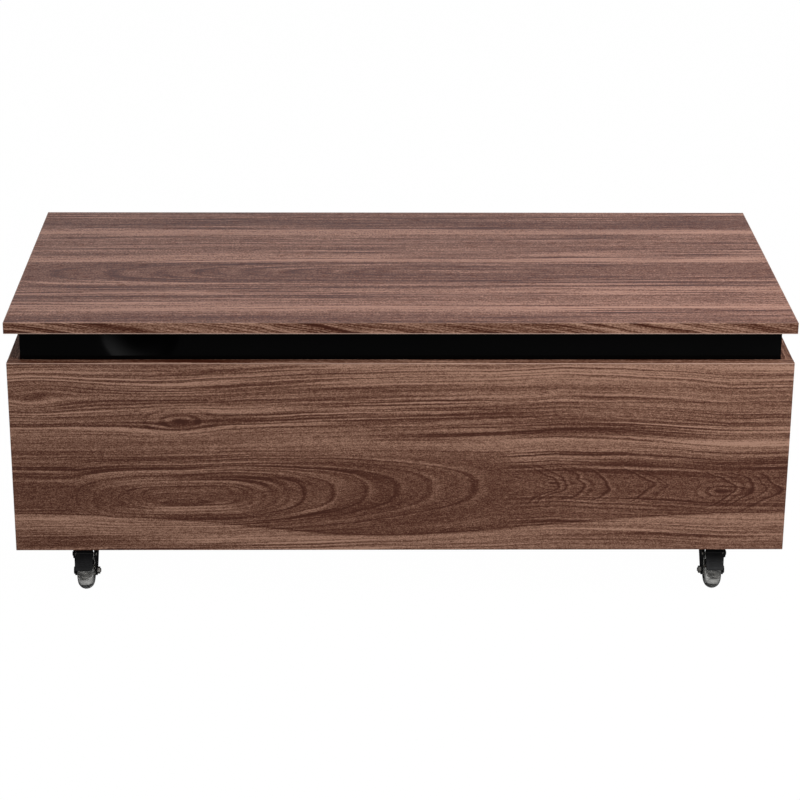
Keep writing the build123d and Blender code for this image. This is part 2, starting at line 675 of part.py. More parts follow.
def tyre():
    """The clear tyre with its full round tread."""
    half = TYRE_WIDTH / 2
    shoulder = WHEEL_RADIUS - half
    side = Polyline((shoulder, -half), (RIM_RADIUS, -half), (RIM_RADIUS, half), (shoulder, half))
    tread = ThreePointArc((shoulder, half), (WHEEL_RADIUS, 0), (shoulder, -half))
    outline = make_face([*side.edges(), tread])
    return AXLE_PLANE * revolve(Plane.XZ * outline, Axis.Z)


def pedal():
    """The brake pedal: a barrel on its pin, a sloping plate with grip grooves, and a shoe over the tyre."""
    slope = radians(PEDAL_SLOPE)
    half = FORK_IN - PEDAL_SIDE_GAP
    down = Plane(origin=(-half, *PEDAL_PIVOT), x_dir=(0, -cos(slope), -sin(slope)), z_dir=(1, 0, 0))
    plate_middle = PEDAL_PLATE / 2 - PEDAL_FACE
    plate = Pos((PEDAL_LENGTH - PEDAL_HEEL) / 2, plate_middle) * Rectangle(
        PEDAL_LENGTH + PEDAL_HEEL, PEDAL_PLATE
    )
    body = extrude(down * (Circle(PEDAL_BARREL_RADIUS) + plate), 2 * half)
    tip = down.offset(half) * Pos(PEDAL_LENGTH, plate_middle)
    tip_edges = [
        edge
        for edge in body.edges()
        if abs((edge.center() - tip.position).length - half) < PEDAL_PLATE / 4
        and abs(edge.length - PEDAL_PLATE) < PEDAL_PLATE / 4
    ]
    body = fillet(tip_edges, PEDAL_CORNER)
    shoe_height = PEDAL_PLATE - PEDAL_FACE + SHOE_HEIGHT / 2
    shoe = Pos(SHOE_START + SHOE_LENGTH / 2, shoe_height) * Rectangle(SHOE_LENGTH, SHOE_HEIGHT)
    body += extrude(down.offset(half - SHOE_WIDTH / 2) * shoe, SHOE_WIDTH)
    for i in range(PEDAL_GRIPS):
        along = PEDAL_GRIP_START + PEDAL_GRIP_PITCH * i
        groove_middle = PEDAL_GRIP_DEPTH / 2 - PEDAL_FACE
        groove = Pos(along, groove_middle) * Rectangle(PEDAL_GRIP_WIDTH, PEDAL_GRIP_DEPTH)
        body -= extrude(down.offset(PEDAL_GRIP_MARGIN) * groove, 2 * (half - PEDAL_GRIP_MARGIN))
    return body - cross_rod(-half, half, PEDAL_PIVOT, PEDAL_PIN_RADIUS + PIVOT_CLEARANCE)


def pedal_pin():
    """The pedal's pin through the fork's ears, with a head at each end."""
    pin = cross_rod(-FORK_OUT, FORK_OUT, PEDAL_PIVOT, PEDAL_PIN_RADIUS)
    for start, end in ((FORK_OUT, FORK_OUT + PEDAL_PIN_HEAD), (-FORK_OUT - PEDAL_PIN_HEAD, -FORK_OUT)):
        pin += cross_rod(start, end, PEDAL_PIVOT, PEDAL_PIN_HEAD_RADIUS)
    return pin


def caster_place(name):
    """Where a caster stands, and which way its wheel trails."""
    x, y, turn, braked = CASTERS[name]
    return Pos(x, y, 0) * Rot(0, 0, turn)


# The pieces, by node name
pieces = {}

# Carcass panels
cam_locks, cam_bolts, cam_holes = cam_joints()
dowels = dowel_ends()
dowel_holes = [rod(start, end, DOWEL_RADIUS + WOOD_CLEARANCE) for start, end in dowels]
riser_screw_holes = riser_screws(WOOD_CLEARANCE)
panel_holes = cam_holes + dowel_holes + riser_screw_holes
panel_z = (CARCASS_BOTTOM, CARCASS_TOP - EDGE_BAND)
band_z = (CARCASS_TOP - EDGE_BAND, CARCASS_TOP)
panel_bands = []
for end_name, sign in ENDS.items():
    y_span = sorted((sign * INNER_Y, sign * HALF_DEPTH))
    panel = block((-CARCASS_X, CARCASS_X), y_span, panel_z)
    outside = panel.edges().group_by(Axis.Y)[0 if sign < 0 else -1]
    panel = fillet(outside.filter_by(Axis.Z) + outside.group_by(Axis.Z)[0], EDGE_ROUND)
    pieces[f"{end_name}_panel"] = [drilled(panel, panel_holes)]
    band = block((-CARCASS_X, CARCASS_X), y_span, band_z)
    panel_bands.append(fillet(band.edges().filter_by(Axis.X).group_by(Axis.Z)[-1], EDGE_ROUND))
for side_name, sign in SIDES.items():
    x_span = sorted((sign * INNER_X, sign * CARCASS_X))
    panel = block(x_span, (-INNER_Y, INNER_Y), panel_z)
    pieces[f"{side_name}_panel"] = [drilled(panel, panel_holes)]
    band = block(x_span, (-INNER_Y, INNER_Y), band_z)
    panel_bands.append(fillet(band.edges().filter_by(Axis.Y).group_by(Axis.Z)[-1], EDGE_ROUND))
pieces["panel_edge_bands"] = panel_bands
plate_holes = [caster_place(name) * hole for name in CASTERS for hole in caster_screw_holes()]
bottom = block((-INNER_X, INNER_X), (-INNER_Y, INNER_Y), (CARCASS_BOTTOM, FLOOR_TOP))
pieces["bottom_panel"] = [drilled(bottom, dowel_holes + plate_holes)]
pieces["cam_locks"] = cam_locks
pieces["cam_bolts"] = cam_bolts
pieces["bottom_dowels"] = [rod(start, end, DOWEL_RADIUS) for start, end in dowels]

# Risers and bumpers
riser_z = (RISER_BOTTOM, RISER_TOP)
bracket_holes = [hole for screw in base_screws(WOOD_CLEARANCE) for hole in both_sides(screw)]
bumpers = []
for end_name, sign in ENDS.items():
    y_span = sorted((sign * RISER_Y, sign * INNER_Y))
    riser = block((RISER_END_GAP - INNER_X, INNER_X - RISER_END_GAP), y_span, riser_z)
    pieces[f"{end_name}_riser"] = [drilled(riser, riser_screw_holes)]
    for side in SIDES.values():
        x, y = side * (INNER_X - BUMPER_INSET), sign * (RISER_Y + INNER_Y) / 2
        bumpers.append(rod((x, y, RISER_TOP), (x, y, TOP_UNDER), BUMPER_RADIUS))
for side_name, sign in SIDES.items():
    x_span = sorted((sign * RISER_X, sign * INNER_X))
    riser = block(x_span, (-RISER_Y, RISER_Y), riser_z)
    pieces[f"{side_name}_riser"] = [drilled(riser, riser_screw_holes + bracket_holes)]
pieces["riser_bumpers"] = bumpers
pieces["riser_screws"] = riser_screws()

# Top slab with its edge bands
slab_holes = [hole for screw in top_screws(WOOD_CLEARANCE) for hole in both_sides(screw)]
core_x, core_y = HALF_WIDTH - EDGE_BAND, HALF_DEPTH - EDGE_BAND
top_z = (TOP_UNDER, TABLE_TOP)
slab = block((-core_x, core_x), (-core_y, core_y), top_z)
pieces["top_slab"] = [drilled(slab, slab_holes)]
top_bands = []
for sign in (-1, 1):
    long_band = block((-HALF_WIDTH, HALF_WIDTH), sorted((sign * core_y, sign * HALF_DEPTH)), top_z)
    outside = long_band.edges().group_by(Axis.Y)[0 if sign < 0 else -1]
    top_bands.append(fillet(outside, EDGE_ROUND))
    short_band = block(sorted((sign * core_x, sign * HALF_WIDTH)), (-core_y, core_y), top_z)
    outside = short_band.edges().group_by(Axis.X)[0 if sign < 0 else -1]
    top_bands.append(fillet(outside.filter_by(Axis.Y), EDGE_ROUND))
pieces["top_edge_bands"] = top_bands

# Lift linkage, made on the right and mirrored to the left
pairs = {
    "base_bracket": base_bracket(),
    "front_arm": front_arm(),
    "rear_arm": rear_arm(),
    "top_bracket": top_bracket(),
}
for name, piece in pairs.items():
    pieces[f"right_{name}"] = [piece]
    pieces[f"left_{name}"] = [mirror(piece, about=Plane.YZ)]
shaft_end = RISER_X - PIVOT_CLEARANCE
pieces["lift_shaft"] = [cross_rod(-shaft_end, shaft_end, PIVOT_A, SHAFT_RADIUS)]
groups = {
    "shaft_bushes": shaft_bushes(),
    "lift_springs": [torsion_spring()],
    "rear_arm_pins": [rear_arm_pin()],
    "rear_arm_washers": [gap_washer(ARM_OUT, PIVOT_B), gap_washer(TOP_FLANGE_OUT, PIVOT_B)],
    "base_bracket_screws": base_screws(),
    "top_bracket_screws": top_screws(),
    "top_pivot_pins": [top_pin(PIVOT_C), top_pin(PIVOT_D)],
    "top_pivot_washers": [gap_washer(TOP_FLANGE_OUT, PIVOT_C), gap_washer(TOP_FLANGE_OUT, PIVOT_D)],
}
for name, group in groups.items():
    pieces[name] = [copy for piece in group for copy in both_sides(piece)]

# Casters: what stays with the carcass is grouped, what turns has nodes of its own
fixed = {
    "caster_plates": [caster_plate()],
    "caster_races": [swivel_race()],
    "caster_kingpins": [kingpin()],
    "caster_screws": caster_screws(),
}
for node, group in fixed.items():
    pieces[node] = [caster_place(name) * piece for name in CASTERS for piece in group]
for name, (x, y, turn, braked) in CASTERS.items():
    inner_side = -1 if x * cos(radians(turn)) > 0 else 1
    turning = {
        "fork": [fork(braked)],
        "axle": axle(inner_side),
        "hub": [wheel_hub()],
        "tyre": [tyre()],
    }
    if braked:
        turning["pedal"] = [pedal()]
        turning["pedal_pin"] = [pedal_pin()]
    for node, group in turning.items():
        pieces[f"{name}_{node}"] = [caster_place(name) * piece for piece in group]

# One file for each node
os.makedirs("parts", exist_ok=True)
for name, group in pieces.items():
    solids = [solid for piece in group for solid in piece.solids()]
    export_step(Compound(solids) if len(solids) > 1 else solids[0], f"parts/{name}.step")
print(f"{len(pieces)} nodes, table {TOP_WIDTH:.0f} x {TOP_DEPTH:.0f} x {TABLE_TOP:.0f} mm")
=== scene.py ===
# %% [markdown]
# # A lift-top coffee table
# The table is a walnut-look box on four casters. Its slab top lies on a ring of black boards and can
# be lifted up and forward on sprung arms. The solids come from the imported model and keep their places.
# This lesson gives every surface its finish, rounds what is turned, winds the springs and sets the light.

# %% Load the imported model
import json
from math import cos, pi, radians, sin

import bmesh
import bpy
from mathutils import Matrix, Vector


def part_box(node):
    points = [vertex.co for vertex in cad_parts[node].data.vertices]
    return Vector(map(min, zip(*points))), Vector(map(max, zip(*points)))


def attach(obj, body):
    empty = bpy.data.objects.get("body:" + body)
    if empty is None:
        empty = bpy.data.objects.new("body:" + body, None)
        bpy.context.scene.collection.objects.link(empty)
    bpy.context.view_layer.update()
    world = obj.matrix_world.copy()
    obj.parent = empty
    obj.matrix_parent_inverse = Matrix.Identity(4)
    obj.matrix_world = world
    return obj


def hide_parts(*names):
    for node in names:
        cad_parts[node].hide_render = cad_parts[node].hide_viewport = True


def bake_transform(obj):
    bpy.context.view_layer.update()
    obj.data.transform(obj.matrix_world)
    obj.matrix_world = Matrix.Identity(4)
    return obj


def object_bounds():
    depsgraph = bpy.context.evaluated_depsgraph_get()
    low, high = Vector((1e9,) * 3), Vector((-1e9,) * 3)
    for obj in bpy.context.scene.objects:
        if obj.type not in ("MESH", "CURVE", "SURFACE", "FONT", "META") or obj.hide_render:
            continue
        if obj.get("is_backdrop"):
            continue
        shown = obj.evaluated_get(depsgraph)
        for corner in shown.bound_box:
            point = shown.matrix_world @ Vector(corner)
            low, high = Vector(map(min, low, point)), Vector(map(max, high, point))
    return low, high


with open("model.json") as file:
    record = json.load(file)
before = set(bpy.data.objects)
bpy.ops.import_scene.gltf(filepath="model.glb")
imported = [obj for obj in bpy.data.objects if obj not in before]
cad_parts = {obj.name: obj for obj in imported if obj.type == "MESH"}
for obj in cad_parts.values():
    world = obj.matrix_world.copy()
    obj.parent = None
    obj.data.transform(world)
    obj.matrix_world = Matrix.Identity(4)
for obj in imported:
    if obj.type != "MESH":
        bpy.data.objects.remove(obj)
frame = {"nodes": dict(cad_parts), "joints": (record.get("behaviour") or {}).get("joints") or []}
nodes = frame["nodes"]
joints = {joint["name"]: joint for joint in frame["joints"]}
cad_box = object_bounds()
SIDES = {"left": -1, "right": 1}
CASTERS = ("front_left", "front_right", "rear_left", "rear_right")

# %% [markdown]
# ## The camera
# The photographer stood a little left of the middle, looked down on the top and used a long lens, so
# upright edges hardly lean. A camera is a place, three angles and a focal length. The angles are turned
# into three axes here, because a small roll is easier to add to axes than to Euler angles.

# %% Place the camera
CAMERA_PLACE = Vector((-0.06373, -3.79209, 1.67813))
CAMERA_YAW = 0.017633
CAMERA_PITCH = 0.3662575
CAMERA_ROLL = 0.0059936
CAMERA_LENS = 110.74
SENSOR_WIDTH = 36.0


def camera_axes(yaw, pitch, roll):
    """The camera's right, up and backward directions."""
    forward = Vector((sin(yaw) * cos(pitch), cos(yaw) * cos(pitch), -sin(pitch)))
    level = forward.cross(Vector((0, 0, 1))).normalized()
    upright = level.cross(forward)
    right = level * cos(roll) + upright * sin(roll)
    up = upright * cos(roll) - level * sin(roll)
    return right, up, -forward


camera_data = bpy.data.cameras.new("photo_camera")
camera_data.lens = CAMERA_LENS
camera_data.sensor_width = SENSOR_WIDTH
camera_data.sensor_fit = "HORIZONTAL"
camera = bpy.data.objects.new("photo_camera", camera_data)
bpy.context.scene.collection.objects.link(camera)
turn = Matrix(camera_axes(CAMERA_YAW, CAMERA_PITCH, CAMERA_ROLL)).transposed().to_4x4()
camera.matrix_world = Matrix.Translation(CAMERA_PLACE) @ turn
bpy.context.scene.camera = camera
print("camera at", [round(value, 3) for value in camera.location])

# %% [markdown]
# ## A short way to write node trees
# Materials below are built from nodes, and a node that adds two numbers takes four lines in plain
# Python. This helper takes numbers or sockets as inputs and gives back the output socket, so a formula
# reads almost like arithmetic.


# %% Node helper
class Net:
    """A node tree with short calls for the nodes that the materials use."""

    def __init__(self, tree):
        self.tree = tree

    def feed(self, socket, value):
        """Links a socket, or sets a plain value."""
        if isinstance(value, bpy.types.NodeSocket):
            self.tree.links.new(value, socket)
        else:
            socket.default_value = value

    def add(self, kind, inputs=None, **settings):
        """A new node with its settings and inputs."""
        node = self.tree.nodes.new(kind)
        for name, value in settings.items():
            setattr(node, name, value)
        for key, value in (inputs or {}).items():
            self.feed(node.inputs[key], value)
        return node

    def math(self, operation, *values):
        """A Math node's result."""
        return self.add("ShaderNodeMath", dict(enumerate(values)), operation=operation).outputs[0]

    def total(self, *values):
        """The sum of several values."""
        result = values[0]
        for value in values[1:]:
            result = self.math("ADD", result, value)
        return result

    def scaled(self, value, factor, offset=0.0):
        """A value times a factor, plus an offset."""
        return self.math("MULTIPLY_ADD", value, factor, offset)

    def share(self, value, low, high):
        """Where a value lies between two limits: 0 at the low one, 1 at the high one."""
        return self.scaled(value, 1 / (high - low), -low / (high - low))

    def step(self, value, low, high, out_low=0.0, out_high=1.0):
        """A smooth step between two limits."""
        inputs = {0: value, 1: low, 2: high, 3: out_low, 4: out_high}
        return self.add("ShaderNodeMapRange", inputs, interpolation_type="SMOOTHSTEP").outputs[0]

    def split(self, vector):
        """The three numbers of a vector."""
        return self.add("ShaderNodeSeparateXYZ", {0: vector}).outputs[:]

    def vector(self, x, y, z=0.0):
        """A vector from three numbers."""
        return self.add("ShaderNodeCombineXYZ", {0: x, 1: y, 2: z}).outputs[0]

    def stretched(self, along, across, scales, depth):
        """A place for noise, with one scale along the grain and one across it."""
        return self.vector(self.scaled(along, scales[0]), self.scaled(across, scales[1]), depth)

    def noise(self, vector, scale=1.0, detail=2.0, roughness=0.5):
        """Noise over a vector, from 0 to 1."""
        inputs = {"Vector": vector, "Scale": scale, "Detail": detail, "Roughness": roughness}
        return self.add("ShaderNodeTexNoise", inputs, noise_dimensions="3D").outputs[0]

    def ramp(self, value, stops):
        """A colour ramp through (position, colour) stops."""
        node = self.add("ShaderNodeValToRGB", {0: value})
        elements = node.color_ramp.elements
        while len(elements) < len(stops):
            elements.new(1.0)
        for element, (position, colour) in zip(elements, stops):
            element.position = position
            element.color = (*colour, 1.0)
        return node.outputs[0]

    def tone_ramp(self, value, stops):
        """A ramp of plain tones, read as one number."""
        colours = self.ramp(value, [(position, (tone, tone, tone)) for position, tone in stops])
        return self.add("ShaderNodeRGBToBW", {0: colours}).outputs[0]

    def mix(self, factor, first, second):
        """One colour mixed into another."""
        return self.add("ShaderNodeMix", {0: factor, 6: first, 7: second}, data_type="RGBA").outputs[2]

    def blend(self, share, first, last):
        """One number faded into another."""
        return self.add("ShaderNodeMix", {0: share, 2: first, 3: last}).outputs[0]

    def group(self, group, inputs):
        """A placed node group."""
        return self.add("ShaderNodeGroup", inputs, node_tree=group).outputs

    def bump(self, height, strength, distance):
        """A surface normal tilted by a height."""
        inputs = {"Height": height, "Strength": strength, "Distance": distance}
        return self.add("ShaderNodeBump", inputs).outputs[0]


NUMBER, VECTOR = "NodeSocketFloat", "NodeSocketVector"


def new_group(name, inputs, outputs):
    """An empty shader group: its tree, its net, its input sockets and the sockets that it puts out."""
    tree = bpy.data.node_groups.new(name, "ShaderNodeTree")
    for socket, kind in inputs.items():
        tree.interface.new_socket(socket, in_out="INPUT", socket_type=kind)
    for socket, kind in outputs.items():
        tree.interface.new_socket(socket, in_out="OUTPUT", socket_type=kind)
    net = Net(tree)
    return tree, net, net.add("NodeGroupInput").outputs, net.add("NodeGroupOutput").inputs


def new_material(name):
    """A material with its net, its Principled shader and Object coordinates."""
    material = bpy.data.materials.new(name)
    material.use_nodes = True
    net = Net(material.node_tree)
    shader = material.node_tree.nodes["Principled BSDF"]
    place = net.add("ShaderNodeTexCoord").outputs["Object"]
    return material, net, shader, place


# %% [markdown]
# ## Walnut figure
# A flat-sawn board cuts the tree's growth rings at a slant, so they show as long lines that close into
# ellipses and arches where the cut runs close to the heart. A stock wave texture gives even stripes
# only. Here each point of the board gets its distance from the heart, as in a real log: the distance
# across the board and the depth of the heart under it. Rings are then noise over that one number. Far
# from the heart the depth is left out, so the lines there run straight.

# %% Swell, wander and heart
# Scales along and across, detail and reach in metres of the slow and the quick wander of the fibres
WANDERS = ((2.2, 6.0, 1.0, 0.014), (11.0, 32.0, 2.0, 0.005))
# How far beside the heart line its depth counts, how square the rings close there, and the least distance
HEART_FADE = (0.090, 0.040)
HEART_SQUARENESS = 3.0
LEAST_DISTANCE = 0.003


def make_swell_group():
    """A smooth swell round one point of a board, 1 in its middle, and the reach from that point. A tail
    above zero draws it out to the right."""
    numbers = ("Along", "Across", "Half Length", "Half Width", "Tail")
    inputs = {"Board": VECTOR, **dict.fromkeys(numbers, NUMBER)}
    tree, net, given, put = new_group("grain_swell", inputs, {"Swell": NUMBER, "Reach": NUMBER})
    along, across, _ = net.split(given["Board"])
    u = net.math("DIVIDE", net.math("SUBTRACT", along, given["Along"]), given["Half Length"])
    u = net.math("SUBTRACT", u, net.math("MULTIPLY", net.math("ABSOLUTE", u), given["Tail"]))
    v = net.math("DIVIDE", net.math("SUBTRACT", across, given["Across"]), given["Half Width"])
    square = net.math("ADD", net.math("MULTIPLY", u, u), net.math("MULTIPLY", v, v))
    net.feed(put["Swell"], net.math("EXPONENT", net.math("MULTIPLY", square, -1.0)))
    net.feed(put["Reach"], net.math("SQRT", square))
    return tree


def make_wander_group():
    """The slow sideways wander of wood fibres along a board, in metres."""
    inputs = {"Board": VECTOR, "Seed": NUMBER}
    tree, net, given, put = new_group("grain_wander", inputs, {"Wander": NUMBER})
    along, across, _ = net.split(given["Board"])
    wanders = []
    for *scales, detail, reach in WANDERS:
        place = net.stretched(along, across, scales, given["Seed"])
        wanders.append(net.scaled(net.noise(place, detail=detail), reach, -reach / 2))
    net.feed(put["Wander"], net.total(*wanders))
    return tree


def make_heart_group():
    """Distance from the heart under a board, and the side of the heart line from -1 to 1."""
    inputs = {"Beside": NUMBER, "Depth": NUMBER}
    tree, net, given, put = new_group("heart_distance", inputs, {"Ring": NUMBER, "Side": NUMBER})
    beside, depth = given["Beside"], given["Depth"]
    straight = net.math("ABSOLUTE", beside)
    powers = [net.math("POWER", distance, HEART_SQUARENESS) for distance in (depth, straight)]
    closed = net.math("POWER", net.total(*powers), 1 / HEART_SQUARENESS)
    near = net.step(straight, *HEART_FADE)
    bulge = net.math("MULTIPLY", near, net.math("SUBTRACT", closed, straight))
    net.feed(put["Ring"], net.math("ADD", straight, bulge))
    net.feed(put["Side"], net.math("DIVIDE", beside, net.math("MAXIMUM", closed, LEAST_DISTANCE)))
    return tree


swell_group = make_swell_group()
wander_group = make_wander_group()
heart_group = make_heart_group()
print("figure groups:", swell_group.name, wander_group.name, heart_group.name)

# %% Growth rings
# Scales and strength of each layer of streaks: the long ones follow the rings, the fine ones the board
LONG_STREAKS = ((0.7, 60.0, 0.07), (1.5, 150.0, 0.13), (5.0, 420.0, 0.30))
FINE_STREAKS = ((0.12, 0.6, 0.24), (0.6, 1.0, 0.66), (0.30, 3.2, 0.40))
STREAK_LIMITS = (0.28, 0.72)
# Scales and half width of the two sets of dark lines, and the weight of the second set
DARK_LINES = ((0.4, 40.0, 0.032), (0.8, 105.0, 0.048))
SECOND_LINES = 0.6
# The light flank of a dark line: where it rises and falls, in half widths, and its weight
FLANK_RISE, FLANK_FALL, FLANK_LIGHT = (0.5, 1.6), (3.2, 1.8), 0.5
# Patches in which streaks and lines fade: scales, then limits and levels for each
FADE_SCALES = (2.0, 34.0)
STREAK_FADE = (0.34, 0.66, 0.40, 1.45)
LINE_FADE = (0.30, 0.60, 0.25, 1.0)
# What is left of streaks and lines on the heart line, and how far its two sides differ
LEFT_ON_HEART, SIDE_SHIFT = 0.2, 0.7
# Pores: scale along, scale across as a share of the fibres', and limits
PORES_ALONG, PORES_ACROSS, PORE_LIMITS = 45.0, 0.8, (0.58, 0.68)


def make_ring_group():
    """Streaks along the rings, fine fibres along the board, and dark lines with a light flank."""
    numbers = ("Ring", "Side", "Seed", "Long", "Fine", "Fibre", "Fibre Along")
    inputs = {"Board": VECTOR, **dict.fromkeys(numbers, NUMBER)}
    outputs = dict.fromkeys(("Tone", "Lines", "Pores"), NUMBER)
    tree, net, given, put = new_group("growth_rings", inputs, outputs)
    along, across, _ = net.split(given["Board"])
    ring, seed = given["Ring"], given["Seed"]
    depth = net.math("MULTIPLY_ADD", given["Side"], SIDE_SHIFT, seed)
    streaks = []
    for *scales, strength in LONG_STREAKS:
        streak = net.noise(net.stretched(along, ring, scales, depth), detail=0.0)
        streaks.append(net.step(streak, *STREAK_LIMITS, -strength, strength))
    fibres = []
    for scale_along, scale_across, strength in FINE_STREAKS:
        scales = net.scaled(given["Fibre Along"], scale_along), net.scaled(given["Fibre"], scale_across)
        fibre = net.noise(net.stretched(along, across, scales, seed), detail=0.0)
        fibres.append(net.scaled(fibre, 2 * strength, -strength))
    off_heart = net.math("POWER", net.math("ABSOLUTE", given["Side"]), 2.0)
    aside = net.scaled(off_heart, 1 - LEFT_ON_HEART, LEFT_ON_HEART)
    fade = net.noise(net.stretched(along, ring, FADE_SCALES, depth), detail=1.0)
    patchy = net.math("MULTIPLY", aside, net.step(fade, *STREAK_FADE))
    long_part = net.math("MULTIPLY", net.math("MULTIPLY", net.total(*streaks), patchy), given["Long"])
    net.feed(put["Tone"], net.math("MULTIPLY_ADD", net.total(*fibres), given["Fine"], long_part))
    lines = []
    for *scales, width in DARK_LINES:
        away = net.math("SUBTRACT", net.noise(net.stretched(along, ring, scales, depth), detail=0.0), 0.5)
        dark = net.step(net.math("ABSOLUTE", away), width, 0.0)
        sides = [net.step(away, width * first, width * last) for first, last in (FLANK_RISE, FLANK_FALL)]
        flank = net.math("MULTIPLY", *sides)
        lines.append(net.math("SUBTRACT", dark, net.scaled(flank, FLANK_LIGHT)))
    both = net.math("ADD", lines[0], net.scaled(lines[1], SECOND_LINES))
    drawn = net.math("MULTIPLY", both, net.step(fade, *LINE_FADE))
    net.feed(put["Lines"], net.math("MULTIPLY", drawn, aside))
    scales = PORES_ALONG, net.scaled(given["Fibre"], PORES_ACROSS)
    pores = net.noise(net.stretched(along, across, scales, seed), detail=1.0)
    net.feed(put["Pores"], net.step(pores, *PORE_LIMITS))
    return tree


ring_group = make_ring_group()
print("ring group:", ring_group.name)

# %% [markdown]
# ## Walnut boards
# Every board has its own figure: the run of its heart line, the depth of the heart under it, its eyes,
# light or dark patches, and the broad bands of the print. The places are read off the boards in metres,
# along and across. The finish is a satin foil: the pores are a little duller and lower than the rest.

# %% Walnut colours and foil
WALNUT_TONES = (
    (0.00, (0.045, 0.0088, 0.0024)),
    (0.25, (0.090, 0.0288, 0.0138)),
    (0.50, (0.160, 0.0740, 0.0465)),
    (0.75, (0.260, 0.1365, 0.0912)),
    (1.00, (0.400, 0.2280, 0.1600)),
)
TOP_TONES = (
    (0.00, (0.046, 0.0045, 0.0012)),
    (0.25, (0.093, 0.0205, 0.0080)),
    (0.50, (0.165, 0.0682, 0.0442)),
    (0.75, (0.268, 0.1290, 0.0900)),
    (1.00, (0.412, 0.2170, 0.1590)),
)
# How far pores and lines darken the tone, how far pores dull the gloss, and the strength and depth of their
# relief
PORE_DARKENS = 0.10
LINE_DARKENS = 0.36
PORE_DULLS = 0.12
PORE_BUMP = (0.25, 0.0002)


def lay_foil(net, shader, colour, pores, roughness, specular):
    """Satin foil: its pores are a little duller and lower than the rest."""
    net.feed(shader.inputs["Base Color"], colour)
    net.feed(shader.inputs["Roughness"], net.scaled(pores, PORE_DULLS, roughness))
    net.feed(shader.inputs["Normal"], net.bump(net.scaled(pores, -1.0), *PORE_BUMP))
    shader.inputs["Specular IOR Level"].default_value = specular


print("walnut tones from", WALNUT_TONES[0][1], "to", WALNUT_TONES[-1][1])

# %% [markdown]
# Single features of the print are drawn over the rings: dark lines with a light flank, eyes whose loops
# close round a core, broad bands, and arcs that point along the heart line. A colour ramp holds up to 32
# stops, so a whole row of lines is one node here, where a node for each line would fill the tree.

# %% Lines, eyes, bands and arcs
# A drawn line: offsets in line widths and shares of its strength. Its flank is light, below zero, and a ramp
# holds 0 to 1 only, so the ramp stores each tone round a middle level
LINE_PROFILE = ((-1.0, 0.0), (0.0, 1.0), (1.5, -0.45), (3.0, 0.0))
STORED_ZERO, STORED_SPAN = 0.4, 0.5
# Heights in metres are stored as shares of this reach, which is also the reach of the arches
RAMP_REACH = 0.1
# Loops of an eye: how close they lie, where they start, their limits and levels, their weight; then its core
LOOP_RATE, LOOP_START, LOOP_TONES, LOOP_SHARE = 12.0, 1.2, (0.0, 1.0, -0.45, 1.0), 0.6
EYE_CORE = (0.36, 0.06)
# Arcs on the heart line: how their arms bend back, how uneven they are, where they fade, and their width
ARC_BEND, ARC_POWER = 8.0, 1.5
ARC_UNEVEN, ARC_SCALES = 0.044, (14.0, 45.0)
ARC_FADE = (0.044, 0.018, 0.0, 1.2)
ARC_WIDTH, ARC_MARGIN = 0.0034, 0.02


def drawn_lines(net, value, lines, reach, width):
    """Darkness of single lines with a light flank: each is a (place, strength) pair within the reach."""
    low, high = reach
    stops = []
    for place, strength in lines:
        for offset, tone in LINE_PROFILE:
            at = (place + offset * width - low) / (high - low)
            stops.append((at, STORED_ZERO + STORED_SPAN * tone * strength))
    stored = net.tone_ramp(net.share(value, low, high), stops)
    return net.scaled(stored, 1 / STORED_SPAN, -STORED_ZERO / STORED_SPAN)


def height_along(net, along, figure, key, base=0.0):
    """A height that the figure gives in metres at places along the board."""
    start, end = figure["length"]
    stops = [((place - start) / (end - start), height / RAMP_REACH) for place, height in figure[key]]
    return net.scaled(net.tone_ramp(net.share(along, start, end), stops), RAMP_REACH, base)


def swell_at(net, board, spot, tail=0.0):
    """Swell and reach round a spot: its place along and across, its half length and its half width."""
    sizes = dict(zip(("Along", "Across", "Half Length", "Half Width"), spot))
    return net.group(swell_group, {"Board": board, "Tail": tail, **sizes})[:2]


def draw_eyes(net, board, across, eyes):
    """How far each eye pushes the lines aside, and the loops and core that it draws."""
    pushes, shades = [], []
    for *spot, push, dark, tail in eyes:
        swell, reach = swell_at(net, board, spot, tail)
        away = net.math("SUBTRACT", spot[1], across)
        pushes.append(net.math("MULTIPLY", away, net.scaled(swell, push)))
        loops = net.step(net.math("SINE", net.scaled(reach, LOOP_RATE, LOOP_START)), *LOOP_TONES)
        core = net.step(reach, *EYE_CORE)
        drawn = net.total(net.scaled(loops, -LOOP_SHARE * dark), net.scaled(core, -dark))
        shades.append(net.math("MULTIPLY", drawn, swell))
    return pushes, shades


def draw_bands(net, place, figure):
    """The broad bands of the print."""
    low, high = figure["band_span"]
    stops = [((height - low) / (high - low), tone) for height, tone in figure["bands"]]
    return net.tone_ramp(net.share(place, low, high), stops)


def draw_arcs(net, along, across, off_heart, figure):
    """Arcs that point along the heart line and fade beside it."""
    uneven = net.noise(net.stretched(along, across, ARC_SCALES, figure["seed"]), detail=1.0)
    arm = net.math("MULTIPLY", net.math("POWER", off_heart, ARC_POWER), ARC_BEND)
    tip = net.total(along, arm, net.scaled(uneven, ARC_UNEVEN, -ARC_UNEVEN / 2))
    near = net.step(off_heart, *ARC_FADE)
    drawn = []
    for arcs in figure["arcs"]:
        reach = arcs[0][0] - ARC_MARGIN, arcs[-1][0] + ARC_MARGIN
        drawn.append(net.math("MULTIPLY", drawn_lines(net, tip, arcs, reach, ARC_WIDTH), near))
    return drawn


# %% A walnut board
# Depth of the heart where it is left out, and how far beside its line the streaks there stay calm
FLAT_DEPTH = 0.004
CALM_HEART = (0.006, 0.028)
# Share of the wander that bends the broad bands, and the width of the lines that go with them
BAND_WANDER = 0.5
BAND_LINE_WIDTH = 0.0011
